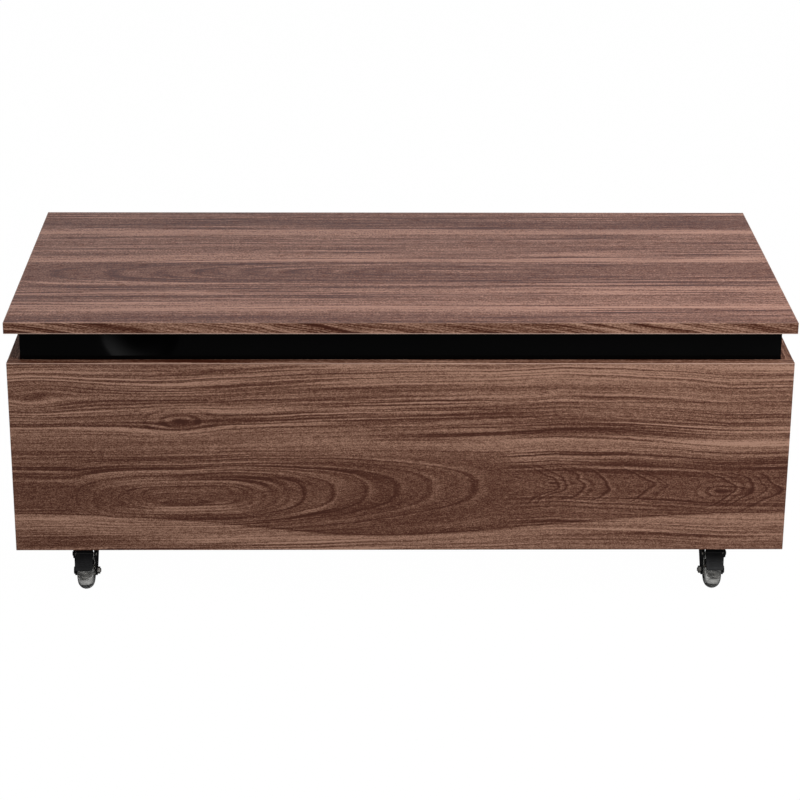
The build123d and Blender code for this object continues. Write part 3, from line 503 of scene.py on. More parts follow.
# A half width so large that a swell does not change across the board
ALL_ACROSS = 100.0
BOARD_ROUGHNESS = 0.46
BOARD_SPECULAR = 0.28


def walnut(name, figure, axes, tones=WALNUT_TONES):
    """A walnut-look board: axes names the two Object axes that run along and across its grain."""
    material, net, shader, place = new_material(name)
    spread = dict(zip("xyz", net.split(place)))
    along = net.math("SUBTRACT", spread[axes[0]], figure["shift"])
    across = spread[axes[1]]
    board = net.vector(along, across)
    wander = net.group(wander_group, {"Board": board, "Seed": figure["seed"]})[0]
    pushes, shades = draw_eyes(net, board, across, figure["eyes"])
    for *spot, tone in figure["patches"]:
        shades.append(net.scaled(swell_at(net, board, spot)[0], tone))
    bent = net.total(across, wander, *pushes)

    beside = net.math("SUBTRACT", bent, height_along(net, along, figure, "heart_line", figure["heart_base"]))
    off_heart = net.math("ABSOLUTE", beside)
    depth = height_along(net, along, figure, "heart_depth")
    ring, side = net.group(heart_group, {"Beside": beside, "Depth": depth})[:2]
    flat_ring, flat_side = net.group(heart_group, {"Beside": beside, "Depth": FLAT_DEPTH})[:2]
    flat_side = net.math("MULTIPLY", flat_side, net.step(off_heart, *CALM_HEART))
    inputs = {"Board": board, "Seed": figure["seed"], "Long": figure["long"], "Fine": figure["fine"]}
    inputs["Fibre"], inputs["Fibre Along"] = figure["fibre"]
    arched = net.group(ring_group, {**inputs, "Ring": ring, "Side": side})
    flat = net.group(ring_group, {**inputs, "Ring": flat_ring, "Side": flat_side})
    ends = [net.step(along, *figure[end]) for end in ("heart_end", "heart_start")]
    past_heart = net.math("MAXIMUM", *ends)
    tone, lines, pores = (net.blend(past_heart, first, last) for first, last in zip(arched, flat))

    span = figure["band_span"]
    belly_at, belly_length, belly_drop, belly_top = figure["belly"]
    belly = swell_at(net, board, (belly_at, 0.0, belly_length, ALL_ACROSS))[0]
    sag = net.math("MULTIPLY", net.scaled(belly, belly_drop), net.step(across, belly_top, span[0]))
    band_place = net.total(across, net.scaled(wander, BAND_WANDER), sag)
    arches = drawn_lines(net, ring, figure["arches"], (0.0, RAMP_REACH), figure["arch_width"])
    drawn = [
        net.math("MULTIPLY", arches, net.math("SUBTRACT", 1.0, past_heart)),
        drawn_lines(net, bent, figure["lines"], span, figure["line_width"]),
        drawn_lines(net, band_place, figure["band_lines"], span, BAND_LINE_WIDTH),
        *draw_arcs(net, along, across, off_heart, figure),
    ]
    final = net.total(
        draw_bands(net, band_place, figure),
        tone,
        net.scaled(net.total(lines, *drawn), -LINE_DARKENS),
        net.scaled(pores, -PORE_DARKENS),
        *shades,
    )
    lay_foil(net, shader, net.ramp(final, tones), pores, BOARD_ROUGHNESS, BOARD_SPECULAR)
    return material


# %% [markdown]
# The front panel shows a long ellipse on the left, arches that run out of it to the right, two small
# eyes with arches behind them on the right, and one knot above. The top shows a calmer heart line across
# its middle. The sides and the back are boards of the same print, cut elsewhere.

# %% Figure of the front
# Eyes are given by place along and across, half length, half width, push, darkness and tail. Patches are
# given by place, half length, half width and tone. Arches, arcs and lines are (place, strength) pairs
FRONT_FIGURE = {
    "seed": 3.7,
    "shift": 0.0,
    "length": (-0.62, 0.62),
    "heart_base": 0.150,
    "heart_line": (
        (-0.60, 0.022),
        (-0.33, 0.025),
        (-0.15, 0.032),
        (0.00, 0.037),
        (0.14, 0.041),
        (0.24, 0.047),
        (0.34, 0.045),
        (0.42, 0.040),
        (0.50, 0.034),
        (0.60, 0.034),
    ),
    "heart_depth": (
        (-0.60, 0.056),
        (-0.50, 0.036),
        (-0.44, 0.020),
        (-0.38, 0.008),
        (-0.33, 0.002),
        (-0.27, 0.010),
        (-0.20, 0.027),
        (-0.15, 0.036),
        (-0.05, 0.047),
        (0.05, 0.055),
        (0.15, 0.062),
        (0.25, 0.064),
    ),
    "heart_start": (-0.46, -0.53),
    "heart_end": (0.13, 0.20),
    "eyes": (
        (-0.338, 0.300, 0.052, 0.0190, 0.92, 0.56, 0.0),
        (-0.556, 0.340, 0.075, 0.0250, 0.90, 0.07, 0.0),
        (0.233, 0.197, 0.034, 0.0100, 0.5, 0.42, 0.45),
        (0.493, 0.183, 0.050, 0.0150, 0.5, 0.50, 0.45),
    ),
    "patches": (
        (-0.410, 0.3870, 0.280, 0.0150, -0.34),
        (0.350, 0.3850, 0.380, 0.0120, 0.12),
        (0.300, 0.2630, 0.420, 0.0110, 0.12),
        (-0.470, 0.1310, 0.150, 0.0130, 0.06),
        (-0.540, 0.0980, 0.130, 0.0130, -0.22),
        (-0.520, 0.2600, 0.180, 0.0300, -0.12),
        (-0.520, 0.1900, 0.160, 0.0250, -0.08),
        (-0.540, 0.3420, 0.060, 0.0160, -0.06),
        (0.520, 0.1350, 0.200, 0.0130, 0.10),
    ),
    "band_span": (0.084, 0.394),
    "belly": (-0.02, 0.33, 0.040, 0.260),
    "long": 0.7,
    "fine": 0.84,
    "fibre": (1000.0, 900.0),
    "arch_width": 0.0005,
    "line_width": 0.0013,
    "arches": (
        (0.0150, 0.30),
        (0.0290, 0.40),
        (0.0360, 0.90),
        (0.0410, 0.95),
        (0.0465, 1.0),
        (0.0505, 1.0),
        (0.0545, 0.9),
        (0.0595, 1.0),
    ),
    "arcs": (
        (
            (0.2440, 1.1),
            (0.2590, 0.9),
            (0.2860, 1.0),
            (0.3010, 0.5),
            (0.3240, 1.1),
            (0.3870, 1.0),
            (0.4080, 0.6),
        ),
        ((0.5160, 1.1), (0.5310, 0.5), (0.5450, 1.0), (0.5660, 0.7), (0.5880, 1.1)),
    ),
    "lines": ((0.2505, 0.8), (0.2905, 0.9), (0.3325, 1.0), (0.3560, 0.6)),
    "band_lines": ((0.1480, 0.9),),
    "bands": (
        (0.084, 0.50),
        (0.100, 0.52),
        (0.112, 0.54),
        (0.124, 0.66),
        (0.145, 0.72),
        (0.149, 0.26),
        (0.153, 0.34),
        (0.168, 0.345),
        (0.224, 0.345),
        (0.243, 0.48),
        (0.258, 0.58),
        (0.272, 0.64),
        (0.285, 0.52),
        (0.297, 0.44),
        (0.315, 0.54),
        (0.335, 0.56),
        (0.350, 0.57),
        (0.366, 0.72),
        (0.394, 0.79),
    ),
}
print("front:", len(FRONT_FIGURE["eyes"]), "eyes,", len(FRONT_FIGURE["arches"]), "arches")

# %% Figure of the top
TOP_FIGURE = {
    "seed": 9.2,
    "shift": 0.0,
    "length": (-0.62, 0.62),
    "heart_base": -0.100,
    "heart_line": ((-0.60, 0.050), (-0.20, 0.058), (0.20, 0.060), (0.60, 0.066)),
    "heart_depth": (
        (-0.60, 0.060),
        (-0.52, 0.054),
        (-0.42, 0.046),
        (-0.31, 0.036),
        (-0.16, 0.022),
        (0.00, 0.008),
        (0.15, 0.004),
        (0.30, 0.014),
        (0.45, 0.036),
        (0.54, 0.030),
        (0.62, 0.006),
    ),
    "heart_start": (-0.56, -0.66),
    "heart_end": (0.10, 0.40),
    "eyes": (
        (-0.100, -0.153, 0.060, 0.0120, 0.6, 0.10, 0.0),
        (0.006, 0.262, 0.150, 0.0180, 0.6, 0.06, 0.0),
        (0.171, 0.147, 0.032, 0.0080, 0.5, 0.14, 0.0),
        (-0.575, 0.106, 0.050, 0.0140, 0.5, 0.14, 0.3),
    ),
    "patches": (
        (-0.560, 0.2150, 0.140, 0.0240, -0.10),
        (0.450, 0.2780, 0.300, 0.0140, 0.16),
        (0.350, 0.1400, 0.350, 0.0300, 0.08),
        (0.400, -0.1700, 0.350, 0.0500, 0.10),
        (-0.450, -0.2750, 0.250, 0.0180, -0.08),
        (0.300, 0.0180, 0.330, 0.0130, 0.10),
        (0.450, 0.1800, 0.240, 0.0140, 0.14),
        (0.250, -0.2200, 0.400, 0.0150, 0.08),
    ),
    "band_span": (-0.290, 0.290),
    "belly": (0.0, 0.3, 0.0, 0.0),
    "long": 1.25,
    "fine": 0.80,
    "fibre": (300.0, 620.0),
    "arch_width": 0.0012,
    "line_width": 0.0026,
    "arches": (
        (0.0140, 0.7),
        (0.0230, 0.9),
        (0.0300, 0.6),
        (0.0370, 1.0),
        (0.0425, 0.6),
        (0.0490, 0.9),
        (0.0560, 0.8),
    ),
    "arcs": (),
    "lines": ((0.0060, 0.7), (-0.1450, 0.7)),
    "band_lines": ((0.1910, 0.4),),
    "bands": (
        (-0.290, 0.41),
        (-0.256, 0.41),
        (-0.246, 0.64),
        (-0.225, 0.79),
        (-0.204, 0.74),
        (-0.196, 0.54),
        (-0.160, 0.49),
        (-0.140, 0.61),
        (-0.120, 0.64),
        (-0.108, 0.49),
        (-0.085, 0.33),
        (-0.030, 0.36),
        (0.004, 0.41),
        (0.012, 0.82),
        (0.038, 0.77),
        (0.050, 0.56),
        (0.090, 0.49),
        (0.140, 0.51),
        (0.160, 0.59),
        (0.168, 0.79),
        (0.186, 0.84),
        (0.193, 0.33),
        (0.225, 0.28),
        (0.260, 0.36),
        (0.290, 0.46),
    ),
}
print("top:", len(TOP_FIGURE["eyes"]), "eyes,", len(TOP_FIGURE["arches"]), "arches")


# %% Make the boards
def recut(figure, seed, shift):
    """The same print cut elsewhere: another seed, and everything moved along."""
    return {**figure, "seed": seed, "shift": shift}


walnut_front = walnut("walnut_front", FRONT_FIGURE, "xz")
walnut_back = walnut("walnut_back", recut(FRONT_FIGURE, seed=21.4, shift=0.31), "xz")
walnut_sides = walnut("walnut_sides", recut(FRONT_FIGURE, seed=33.9, shift=0.22), "yz")
walnut_top = walnut("walnut_top", TOP_FIGURE, "xy", TOP_TONES)
print("boards:", walnut_front.name, walnut_back.name, walnut_sides.name, walnut_top.name)

# %% [markdown]
# ## Edge bands
# The slab's edges carry a thin strip of the same foil. On the long edges its print runs at a shallow
# slant, so short diagonal lines show. The strips on the panels' top edges run straight, and their darker
# tone is painted shade from the slab above. Where an edge is rounded, a painted highlight makes it a
# little lighter, which reads as a thin bright line.

# %% Edge band material
# Colour of the painted highlight on rounded edges
PAINTED_EDGE_HIGHLIGHT = (0.60, 0.42, 0.34, 1.0)
EDGE_WANDER, EDGE_WANDER_SCALES = 0.012, (9.0, 40.0)
EDGE_GRAIN = {"Side": 1.0, "Long": 0.8, "Fine": 0.8, "Fibre": 700.0, "Fibre Along": 500.0}
EDGE_BROAD_SCALES, EDGE_BROAD_LIMITS = (4.0, 60.0), (0.36, 0.64)
EDGE_SPECULAR = 0.18


def walnut_edge(name, strip_run, highlight_at, slant, seed, tones, roughness):
    """A narrow strip of foil: lines at a slant to its run, paler where a painted highlight lies on its rims.
    """
    material, net, shader, place = new_material(name)
    x, y, z = net.split(place)
    along, across = strip_run(net, x, y, z)
    wander = net.noise(net.stretched(along, across, EDGE_WANDER_SCALES, seed), detail=2.0)
    ring = net.total(net.scaled(along, slant), across, net.scaled(wander, EDGE_WANDER))
    inputs = {"Board": net.vector(along, across), "Ring": ring, "Seed": seed, **EDGE_GRAIN}
    tone, lines, pores = net.group(ring_group, inputs)[:3]
    broad = net.noise(net.stretched(along, ring, EDGE_BROAD_SCALES, seed), detail=1.0)
    final = net.total(
        net.step(broad, *EDGE_BROAD_LIMITS, *tones),
        tone,
        net.scaled(lines, -LINE_DARKENS),
        net.scaled(pores, -PORE_DARKENS),
    )
    # The painted highlight is mixed over the rounded rims
    colour = net.mix(highlight_at(net, y, z), net.ramp(final, WALNUT_TONES), PAINTED_EDGE_HIGHLIGHT)
    lay_foil(net, shader, colour, pores, roughness, EDGE_SPECULAR)
    return material


# %% Make the edge bands
slab_low, slab_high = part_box("top_slab")
strip_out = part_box("panel_edge_bands")[1].y
# Where the strips on the front and back panels end, inward from their outer rim
STRIP_END = (0.0185, 0.0180)
# Where each rim's painted highlight starts and is full, inward from the rim, and how strong it is
SLAB_LOW_HIGHLIGHT_SPAN, SLAB_LOW_HIGHLIGHT_SHARE = (0.0022, 0.0006), 0.75
SLAB_HIGH_HIGHLIGHT_SPAN, SLAB_HIGH_HIGHLIGHT_SHARE = (0.0010, 0.0), 0.30
STRIP_HIGHLIGHT_SPAN, STRIP_HIGHLIGHT_SHARE = (0.0016, 0.0004), 0.50


def inward(net, value, rim, limits):
    """A smooth step between two distances inward from a rim."""
    return net.step(value, *(rim - limit for limit in limits))


def upright_run(net, x, y, z):
    """Strips on upright edges run along X or Y, and up is across."""
    return net.math("ADD", x, y), z


def level_run(net, x, y, _):
    """Strips that lie flat: those of the front and back run along X, those of the sides along Y."""
    long_strip = inward(net, net.math("ABSOLUTE", y), strip_out, STRIP_END)
    return net.blend(long_strip, y, x), net.blend(long_strip, x, y)


def slab_painted_highlight(net, _, z):
    """Painted highlight on the slab's lower edge, and a fainter one on its upper edge."""
    lower = net.step(z, *(slab_low.z + limit for limit in SLAB_LOW_HIGHLIGHT_SPAN))
    upper = inward(net, z, slab_high.z, SLAB_HIGH_HIGHLIGHT_SPAN)
    return net.math("MAXIMUM", net.scaled(lower, SLAB_LOW_HIGHLIGHT_SHARE), net.scaled(upper, SLAB_HIGH_HIGHLIGHT_SHARE))


def strip_painted_highlight(net, y, _):
    """Painted highlight on the outer rim of the strips on the front and back panels."""
    return net.scaled(inward(net, net.math("ABSOLUTE", y), strip_out, STRIP_HIGHLIGHT_SPAN), STRIP_HIGHLIGHT_SHARE)


slab_edge = walnut_edge(
    "slab_edge", upright_run, slab_painted_highlight, slant=0.16, seed=5.1, tones=(0.44, 0.60), roughness=0.5
)
# The strip's lower tones are painted shade from the slab that overhangs it
panel_strip = walnut_edge(
    "panel_strip", level_run, strip_painted_highlight, slant=0.004, seed=12.6, tones=(0.35, 0.47), roughness=0.6
)
print("edge bands:", slab_edge.name, panel_strip.name)

# %% [markdown]
# ## Plain finishes
# The other pieces are black laminate, powder-coated and zinc-plated steel, spring steel, rubber, nylon,
# moulded plastic and clear polyurethane. What they share is an uneven surface: one group gives a mask
# of fine grain and one of broad blotches, and each finish uses them at its own scale.

# %% Surface group and plain finishes
# Share of the blotches in a finish's drift, the limits of that drift, the spread of the gloss, and the bump
BLOTCH_SHARE = 0.7
DRIFT_LIMITS = (0.32, 0.68)
GLOSS_SPREAD = 0.16
GRAIN_BUMP = 0.35


def make_surface_group():
    """Fine grain and broad blotches, from 0 to 1."""
    inputs = {"Place": VECTOR, "Grain Scale": NUMBER, "Blotch Scale": NUMBER}
    tree, net, given, put = new_group("uneven_surface", inputs, {"Grain": NUMBER, "Blotch": NUMBER})
    for mask, roughness in (("Grain", 0.6), ("Blotch", 0.55)):
        uneven = net.noise(given["Place"], given[f"{mask} Scale"], detail=3.0, roughness=roughness)
        net.feed(put[mask], uneven)
    return tree


surface_group = make_surface_group()


def uneven_surface(net, place, grain_scale, blotch_scale):
    """The two masks of the surface group at their own scales."""
    inputs = {"Place": place, "Grain Scale": grain_scale, "Blotch Scale": blotch_scale}
    return net.group(surface_group, inputs)[:2]


def finish(name, dark, light, roughness, grain_scale, blotch_scale, relief, metallic, specular):
    """A finish that drifts between two colours, with fine grain in its relief and its gloss."""
    material, net, shader, place = new_material(name)
    grain, blotch = uneven_surface(net, place, grain_scale, blotch_scale)
    drift = net.math("ADD", net.scaled(blotch, BLOTCH_SHARE), net.scaled(grain, 1 - BLOTCH_SHARE))
    colour = net.mix(net.step(drift, *DRIFT_LIMITS), (*dark, 1.0), (*light, 1.0))
    net.feed(shader.inputs["Base Color"], colour)
    net.feed(shader.inputs["Roughness"], net.scaled(grain, GLOSS_SPREAD, roughness - GLOSS_SPREAD / 2))
    net.feed(shader.inputs["Normal"], net.bump(grain, GRAIN_BUMP, relief))
    shader.inputs["Metallic"].default_value = metallic
    shader.inputs["Specular IOR Level"].default_value = specular
    return material


# Dark and light colour, roughness, scales of grain and blotches, relief in metres, metallic and specular
FINISHES = {
    "black_laminate": ((0.001, 0.001, 0.0011), (0.0016, 0.0016, 0.0017), 0.09, 900.0, 6.0, 2e-6, 0.0, 0.035),
    "powder_coat": ((0.0020, 0.0020, 0.0023), (0.0050, 0.0050, 0.0055), 0.46, 1400.0, 60.0, 6e-5, 0.0, 0.14),
    "zinc": ((0.42, 0.42, 0.41), (0.62, 0.62, 0.60), 0.30, 700.0, 140.0, 3e-5, 1.0, 0.5),
    "spring_steel": ((0.10, 0.10, 0.10), (0.22, 0.21, 0.20), 0.34, 900.0, 120.0, 3e-5, 1.0, 0.5),
    "bumper_rubber": ((0.012, 0.012, 0.012), (0.024, 0.024, 0.024), 0.70, 1600.0, 90.0, 5e-5, 0.0, 0.5),
    "nylon": ((0.60, 0.59, 0.54), (0.74, 0.73, 0.68), 0.42, 1200.0, 90.0, 3e-5, 0.0, 0.5),
    "beech": ((0.42, 0.27, 0.15), (0.60, 0.43, 0.27), 0.60, 500.0, 160.0, 5e-5, 0.0, 0.5),
    "pedal_plastic": ((0.004, 0.004, 0.0045), (0.009, 0.009, 0.010), 0.55, 2200.0, 70.0, 6e-5, 0.0, 0.18),
}
finishes = {name: finish(name, *values) for name, values in FINISHES.items()}
print("finishes:", ", ".join(finishes))

# %% [markdown]
# The bolts of the casters are zinc with blackened heads. Two materials would need each bolt to be cut in
# two, so one material turns from bright metal to black at a place along the bolt.

# %% Axle bolts
AXLE_SCALES, AXLE_DRIFT = (900.0, 160.0), (0.35, 0.65)
AXLE_DARK, AXLE_LIGHT = (0.12, 0.11, 0.10, 1.0), (0.30, 0.29, 0.27, 1.0)
HEAD_BLACK = (0.006, 0.006, 0.007, 1.0)
# Where bright shank turns to black head, inward from the end of the bolt
HEAD_SEAM = (0.0026, 0.0022)
AXLE_GLOSS_SPREAD, AXLE_ROUGHNESS = 0.14, 0.24
AXLE_BUMP = (0.3, 0.00003)
AXLE_SPECULAR = 0.2


def make_axle_finish():
    """Zinc whose outer heads are blackened, as the bolts of the casters are."""
    material, net, shader, place = new_material("axle_finish")
    grain, blotch = uneven_surface(net, place, *AXLE_SCALES)
    bolt_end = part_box("front_right_axle")[1].x
    outer = inward(net, net.math("ABSOLUTE", net.split(place)[0]), bolt_end, HEAD_SEAM)
    bright = net.mix(net.step(blotch, *AXLE_DRIFT), AXLE_DARK, AXLE_LIGHT)
    net.feed(shader.inputs["Base Color"], net.mix(outer, bright, HEAD_BLACK))
    net.feed(shader.inputs["Metallic"], net.math("SUBTRACT", 1.0, outer))
    net.feed(shader.inputs["Roughness"], net.scaled(grain, AXLE_GLOSS_SPREAD, AXLE_ROUGHNESS))
    net.feed(shader.inputs["Normal"], net.bump(grain, *AXLE_BUMP))
    shader.inputs["Specular IOR Level"].default_value = AXLE_SPECULAR
    return material


axle_finish = make_axle_finish()
print("axle bolts:", axle_finish.name)

# %% [markdown]
# The wheels are moulded from clear plastic. Plain glass would look empty, so the tint drifts, flow streaks
# dim and bend the light, and painted shade darkens the grazing rim, standing in for light that runs a long
# way through the wall.

# %% Clear plastic
CLEAR_SCALES, CLEAR_DRIFT, CLEAR_SHADE = (420.0, 110.0), (0.3, 0.7), 0.80
# Flow streaks: their scale, their limits and how far they darken the plastic
FLOW_SCALE, FLOW_LIMITS, FLOW_DARKENS = 5.0, (0.46, 0.62), 0.72
# The painted shade on the grazing rim: how early it starts, and its limits
RIM_SHADE_BLEND, RIM_SHADE_LIMITS = 0.35, (0.20, 0.62)
CLEAR_GLOSS_SPREAD = 0.10
CLEAR_BUMP, BLOTCH_BUMP = 0.6, 0.5
CLEAR_PLAIN = {"Transmission Weight": 0.92, "IOR": 1.46, "Specular IOR Level": 0.9}


def clear_plastic(name, tint, rim, roughness, relief):
    """Clear moulded plastic: light goes through, flow streaks across the tread bend and dim it, and painted
    shade darkens its grazing rim."""
    material, net, shader, place = new_material(name)
    grain, blotch = uneven_surface(net, place, *CLEAR_SCALES)
    around = net.add("ShaderNodeAttribute", attribute_name="around").outputs["Vector"]
    flow = net.noise(around, FLOW_SCALE, detail=1.5)
    shade = tuple(value * CLEAR_SHADE for value in tint)
    body = net.mix(net.step(blotch, *CLEAR_DRIFT), (*shade, 1.0), (*tint, 1.0))
    body = net.mix(net.scaled(net.step(flow, *FLOW_LIMITS), FLOW_DARKENS), body, (*rim, 1.0))
    # Painted shade: the colour turns to the rim colour at grazing angles
    facing = net.add("ShaderNodeLayerWeight", {"Blend": RIM_SHADE_BLEND}).outputs["Facing"]
    net.feed(shader.inputs["Base Color"], net.mix(net.step(facing, *RIM_SHADE_LIMITS), body, (*rim, 1.0)))
    gloss = net.scaled(grain, CLEAR_GLOSS_SPREAD, roughness - CLEAR_GLOSS_SPREAD / 2)
    net.feed(shader.inputs["Roughness"], gloss)
    height = net.total(net.scaled(blotch, BLOTCH_BUMP), flow)
    net.feed(shader.inputs["Normal"], net.bump(height, CLEAR_BUMP, relief))
    for socket, value in CLEAR_PLAIN.items():
        shader.inputs[socket].default_value = value
    return material


# The rim colour darkens the flow streaks and is also the painted shade on the grazing rim
clear_tyre = clear_plastic(
    "clear_tyre", tint=(0.84, 0.83, 0.80), rim=(0.03, 0.03, 0.03), roughness=0.10, relief=0.0008
)
clear_hub = clear_plastic(
    "clear_hub", tint=(0.62, 0.61, 0.58), rim=(0.12, 0.12, 0.12), roughness=0.18, relief=0.0005
)
print("clear plastic:", clear_tyre.name, clear_hub.name)

# %% [markdown]
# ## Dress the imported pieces
# Each node takes the finish of its kind. The rules go from a word in the node's name to a material, so
# a piece that is repeated four times is named once.

# %% Give each node its finish
FINISH_BY_WORD = (
    ("top_slab", walnut_top),
    ("front_panel", walnut_front),
    ("back_panel", walnut_back),
    ("bottom_panel", finishes["black_laminate"]),
    ("_panel", walnut_sides),
    ("top_edge_bands", slab_edge),
    ("panel_edge_bands", panel_strip),
    ("_riser", finishes["black_laminate"]),
    ("bumpers", finishes["bumper_rubber"]),
    ("dowels", finishes["beech"]),
    ("springs", finishes["spring_steel"]),
    ("bushes", finishes["nylon"]),
    ("washers", finishes["nylon"]),
    ("_pedal_pin", axle_finish),
    ("_pedal", finishes["pedal_plastic"]),
    ("_hub", clear_hub),
    ("_tyre", clear_tyre),
    ("screws", finishes["zinc"]),
    ("pins", finishes["zinc"]),
    ("cam_", finishes["zinc"]),
    ("axle", axle_finish),
    ("races", finishes["zinc"]),
    ("", finishes["powder_coat"]),
)


def dress(piece, material):
    """Puts one material on every face of a piece."""
    piece.data.materials.clear()
    piece.data.materials.append(material)


for name, node in nodes.items():
    dress(node, next(material for word, material in FINISH_BY_WORD if word in name))
print("dressed", len(nodes), "nodes")

# %% [markdown]
# ## Wheels, turned smooth
# Light is bent at the surface of a clear wheel, so flat facets would show as stripes. Tyres and hubs are
# turned again here: a profile of radius and place along the axle is spun in many small steps, with
# smooth shading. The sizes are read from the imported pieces. Each point keeps its place round the axle as
# an attribute, from which the clear plastic draws its flow streaks across the tread.

# %% Spin a profile
WHEEL_STEPS = 96
# How fast the flow streaks change along the axle, against once round the wheel
ACROSS_TREAD = 12.0


def smooth_mesh(name, points, faces):
    """A mesh object with smooth shading and faces that look outward."""
    mesh = bpy.data.meshes.new(name)
    mesh.from_pydata([tuple(point) for point in points], [], faces)
    shape = bmesh.new()
    shape.from_mesh(mesh)
    bmesh.ops.recalc_face_normals(shape, faces=shape.faces)
    for face in shape.faces:
        face.smooth = True
    shape.to_mesh(mesh)
    shape.free()
    piece = bpy.data.objects.new(name, mesh)
    bpy.context.scene.collection.objects.link(piece)
    return piece


def spun(name, profile, middle):
    """A closed profile of (radius, along X) points, spun about an axle through the middle."""
    points, faces = [], []
    count = len(profile)
    for step in range(WHEEL_STEPS):
        angle = 2 * pi * step / WHEEL_STEPS
        for radius, along in profile:
            points.append(middle + Vector((along, radius * cos(angle), radius * sin(angle))))
    for step in range(WHEEL_STEPS):
        here, there = step * count, (step + 1) % WHEEL_STEPS * count
        for k in range(count):
            after = (k + 1) % count
            faces.append((here + k, here + after, there + after, there + k))
    piece = smooth_mesh(name, points, faces)
    around = piece.data.attributes.new("around", "FLOAT_VECTOR", "POINT")
    for value, point in zip(around.data, points):
        along, *across = point - middle
        outward = Vector(across).normalized()
        value.vector = (ACROSS_TREAD * along, outward.x, outward.y)
    return piece


# %% Profiles of tyre and hub
TREAD_STEPS = 24
# Size of the tyre's inner corners, and the share of it that their middle point keeps
CORNER, CORNER_CUT = 0.0012, 0.3
HUB_EASE = 0.0006


def tyre_profile(wheel_radius, rim_radius, half):
    """A flat inside, eased corners and a full round tread."""
    shoulder = wheel_radius - half
    cut = CORNER * CORNER_CUT
    points = [(rim_radius, CORNER - half), (rim_radius, half - CORNER)]
    points += [(rim_radius + cut, half - cut), (rim_radius + CORNER, half)]
    for step in range(TREAD_STEPS + 1):
        angle = pi * step / TREAD_STEPS
        points.append((shoulder + half * sin(angle), half * cos(angle)))
    return points + [(rim_radius + CORNER, -half), (rim_radius + cut, cut - half)]


def eased(points):
    """A closed profile with every corner cut and rounded by three points."""
    result = []
    for k, here in enumerate(points):
        here = Vector(here)
        before, after = Vector(points[k - 1]), Vector(points[(k + 1) % len(points)])
        first = here + (before - here).normalized() * HUB_EASE
        last = here + (after - here).normalized() * HUB_EASE
        result += [first, (first + last) * 0.25 + here * 0.5, last]
    return [tuple(point) for point in result]


def hub_profile(bore, hub_radius, rim_radius, hub_half, web_half, rim_half, wall):
    """Hub, web and rim as one turned outline."""
    half = [
        (bore, hub_half),
        (hub_radius, hub_half),
        (hub_radius, web_half),
        (rim_radius - wall, web_half),
        (rim_radius - wall, rim_half),
        (rim_radius, rim_half),
    ]
    return eased(half + [(radius, -along) for radius, along in reversed(half)])


# %% Turn the tyres and hubs
HUB = {"bore": 0.00305, "hub_radius": 0.008, "web_half": 0.003, "wall": 0.003, "rim_half": 0.011}
# Play between hub and tyre, so that two faces never lie in one place
TYRE_PLAY = 0.00001

for name in CASTERS:
    tyre_low, tyre_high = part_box(f"{name}_tyre")
    hub_low, hub_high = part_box(f"{name}_hub")
    middle = (tyre_low + tyre_high) / 2
    wheel_radius, rim_radius = (tyre_high.z - tyre_low.z) / 2, (hub_high.z - hub_low.z) / 2
    tyre_half, hub_half = (tyre_high.x - tyre_low.x) / 2, (hub_high.x - hub_low.x) / 2
    tyre_outline = tyre_profile(wheel_radius, rim_radius + TYRE_PLAY, tyre_half)
    hub_outline = hub_profile(rim_radius=rim_radius, hub_half=hub_half, **HUB)
    tyre = spun(f"{name}_turned_tyre", tyre_outline, middle)
    hub = spun(f"{name}_turned_hub", hub_outline, middle)
    turned = ((tyre, "tyre", clear_tyre, "clear_tyre"), (hub, "hub", clear_hub, "hub_plastic"))
    for piece, node, material, slot in turned:
        dress(piece, material)
        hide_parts(f"{name}_{node}")
        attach(piece, f"{name}_wheel")
print("turned", 2 * len(CASTERS), "wheel pieces")

# %% [markdown]
# ## Springs on the shaft
# Two torsion springs carry most of the weight of the top: wire wound round the cross shaft, with one end
# hooked into the lift arm and the other into the bracket. Blender's spiral has no legs, so the path of
# the wire is worked out point by point, and Geometry Nodes sweep a round section along it.

# %% A tree that sweeps wire, and a way to use trees
FORM, WHOLE, FINISH, MODEL = "NodeSocketGeometry", "NodeSocketInt", "NodeSocketMaterial", "NodeSocketObject"


def new_tree(name, inputs):
    """An empty Geometry Nodes tree: its net and its inputs."""
    tree = bpy.data.node_groups.new(name, "GeometryNodeTree")
    for socket, kind in {"Geometry": FORM, **inputs}.items():
        tree.interface.new_socket(socket, in_out="INPUT", socket_type=kind)
    tree.interface.new_socket("Geometry", in_out="OUTPUT", socket_type=FORM)
    net = Net(tree)
    return tree, net, net.add("NodeGroupInput").outputs


def close_tree(net, form, finish_socket):
    """Ends a tree: instances are made real and take their finish."""
    real = net.add("GeometryNodeRealizeInstances", {"Geometry": form}).outputs[0]
    dressed = net.add("GeometryNodeSetMaterial", {"Geometry": real, "Material": finish_socket}).outputs[0]
    net.add("NodeGroupOutput", {"Geometry": dressed})


def make_wire_tree():
    """Sweeps a round wire along the edges of a mesh and closes its ends."""
    inputs = {"Wire Radius": NUMBER, "Sides": WHOLE, "Finish": FINISH}
    tree, net, given = new_tree("swept_wire", inputs)
    size = {"Radius": given["Wire Radius"], "Resolution": given["Sides"]}
    section = net.add("GeometryNodeCurvePrimitiveCircle", size).outputs[0]
    path = net.add("GeometryNodeMeshToCurve", {"Mesh": given["Geometry"]}).outputs[0]
    sweep = {"Curve": path, "Profile Curve": section, "Fill Caps": True}
    tube = net.add("GeometryNodeCurveToMesh", sweep).outputs[0]
    smooth = net.add("GeometryNodeSetShadeSmooth", {"Geometry": tube}).outputs[0]
    close_tree(net, smooth, given["Finish"])
    return tree


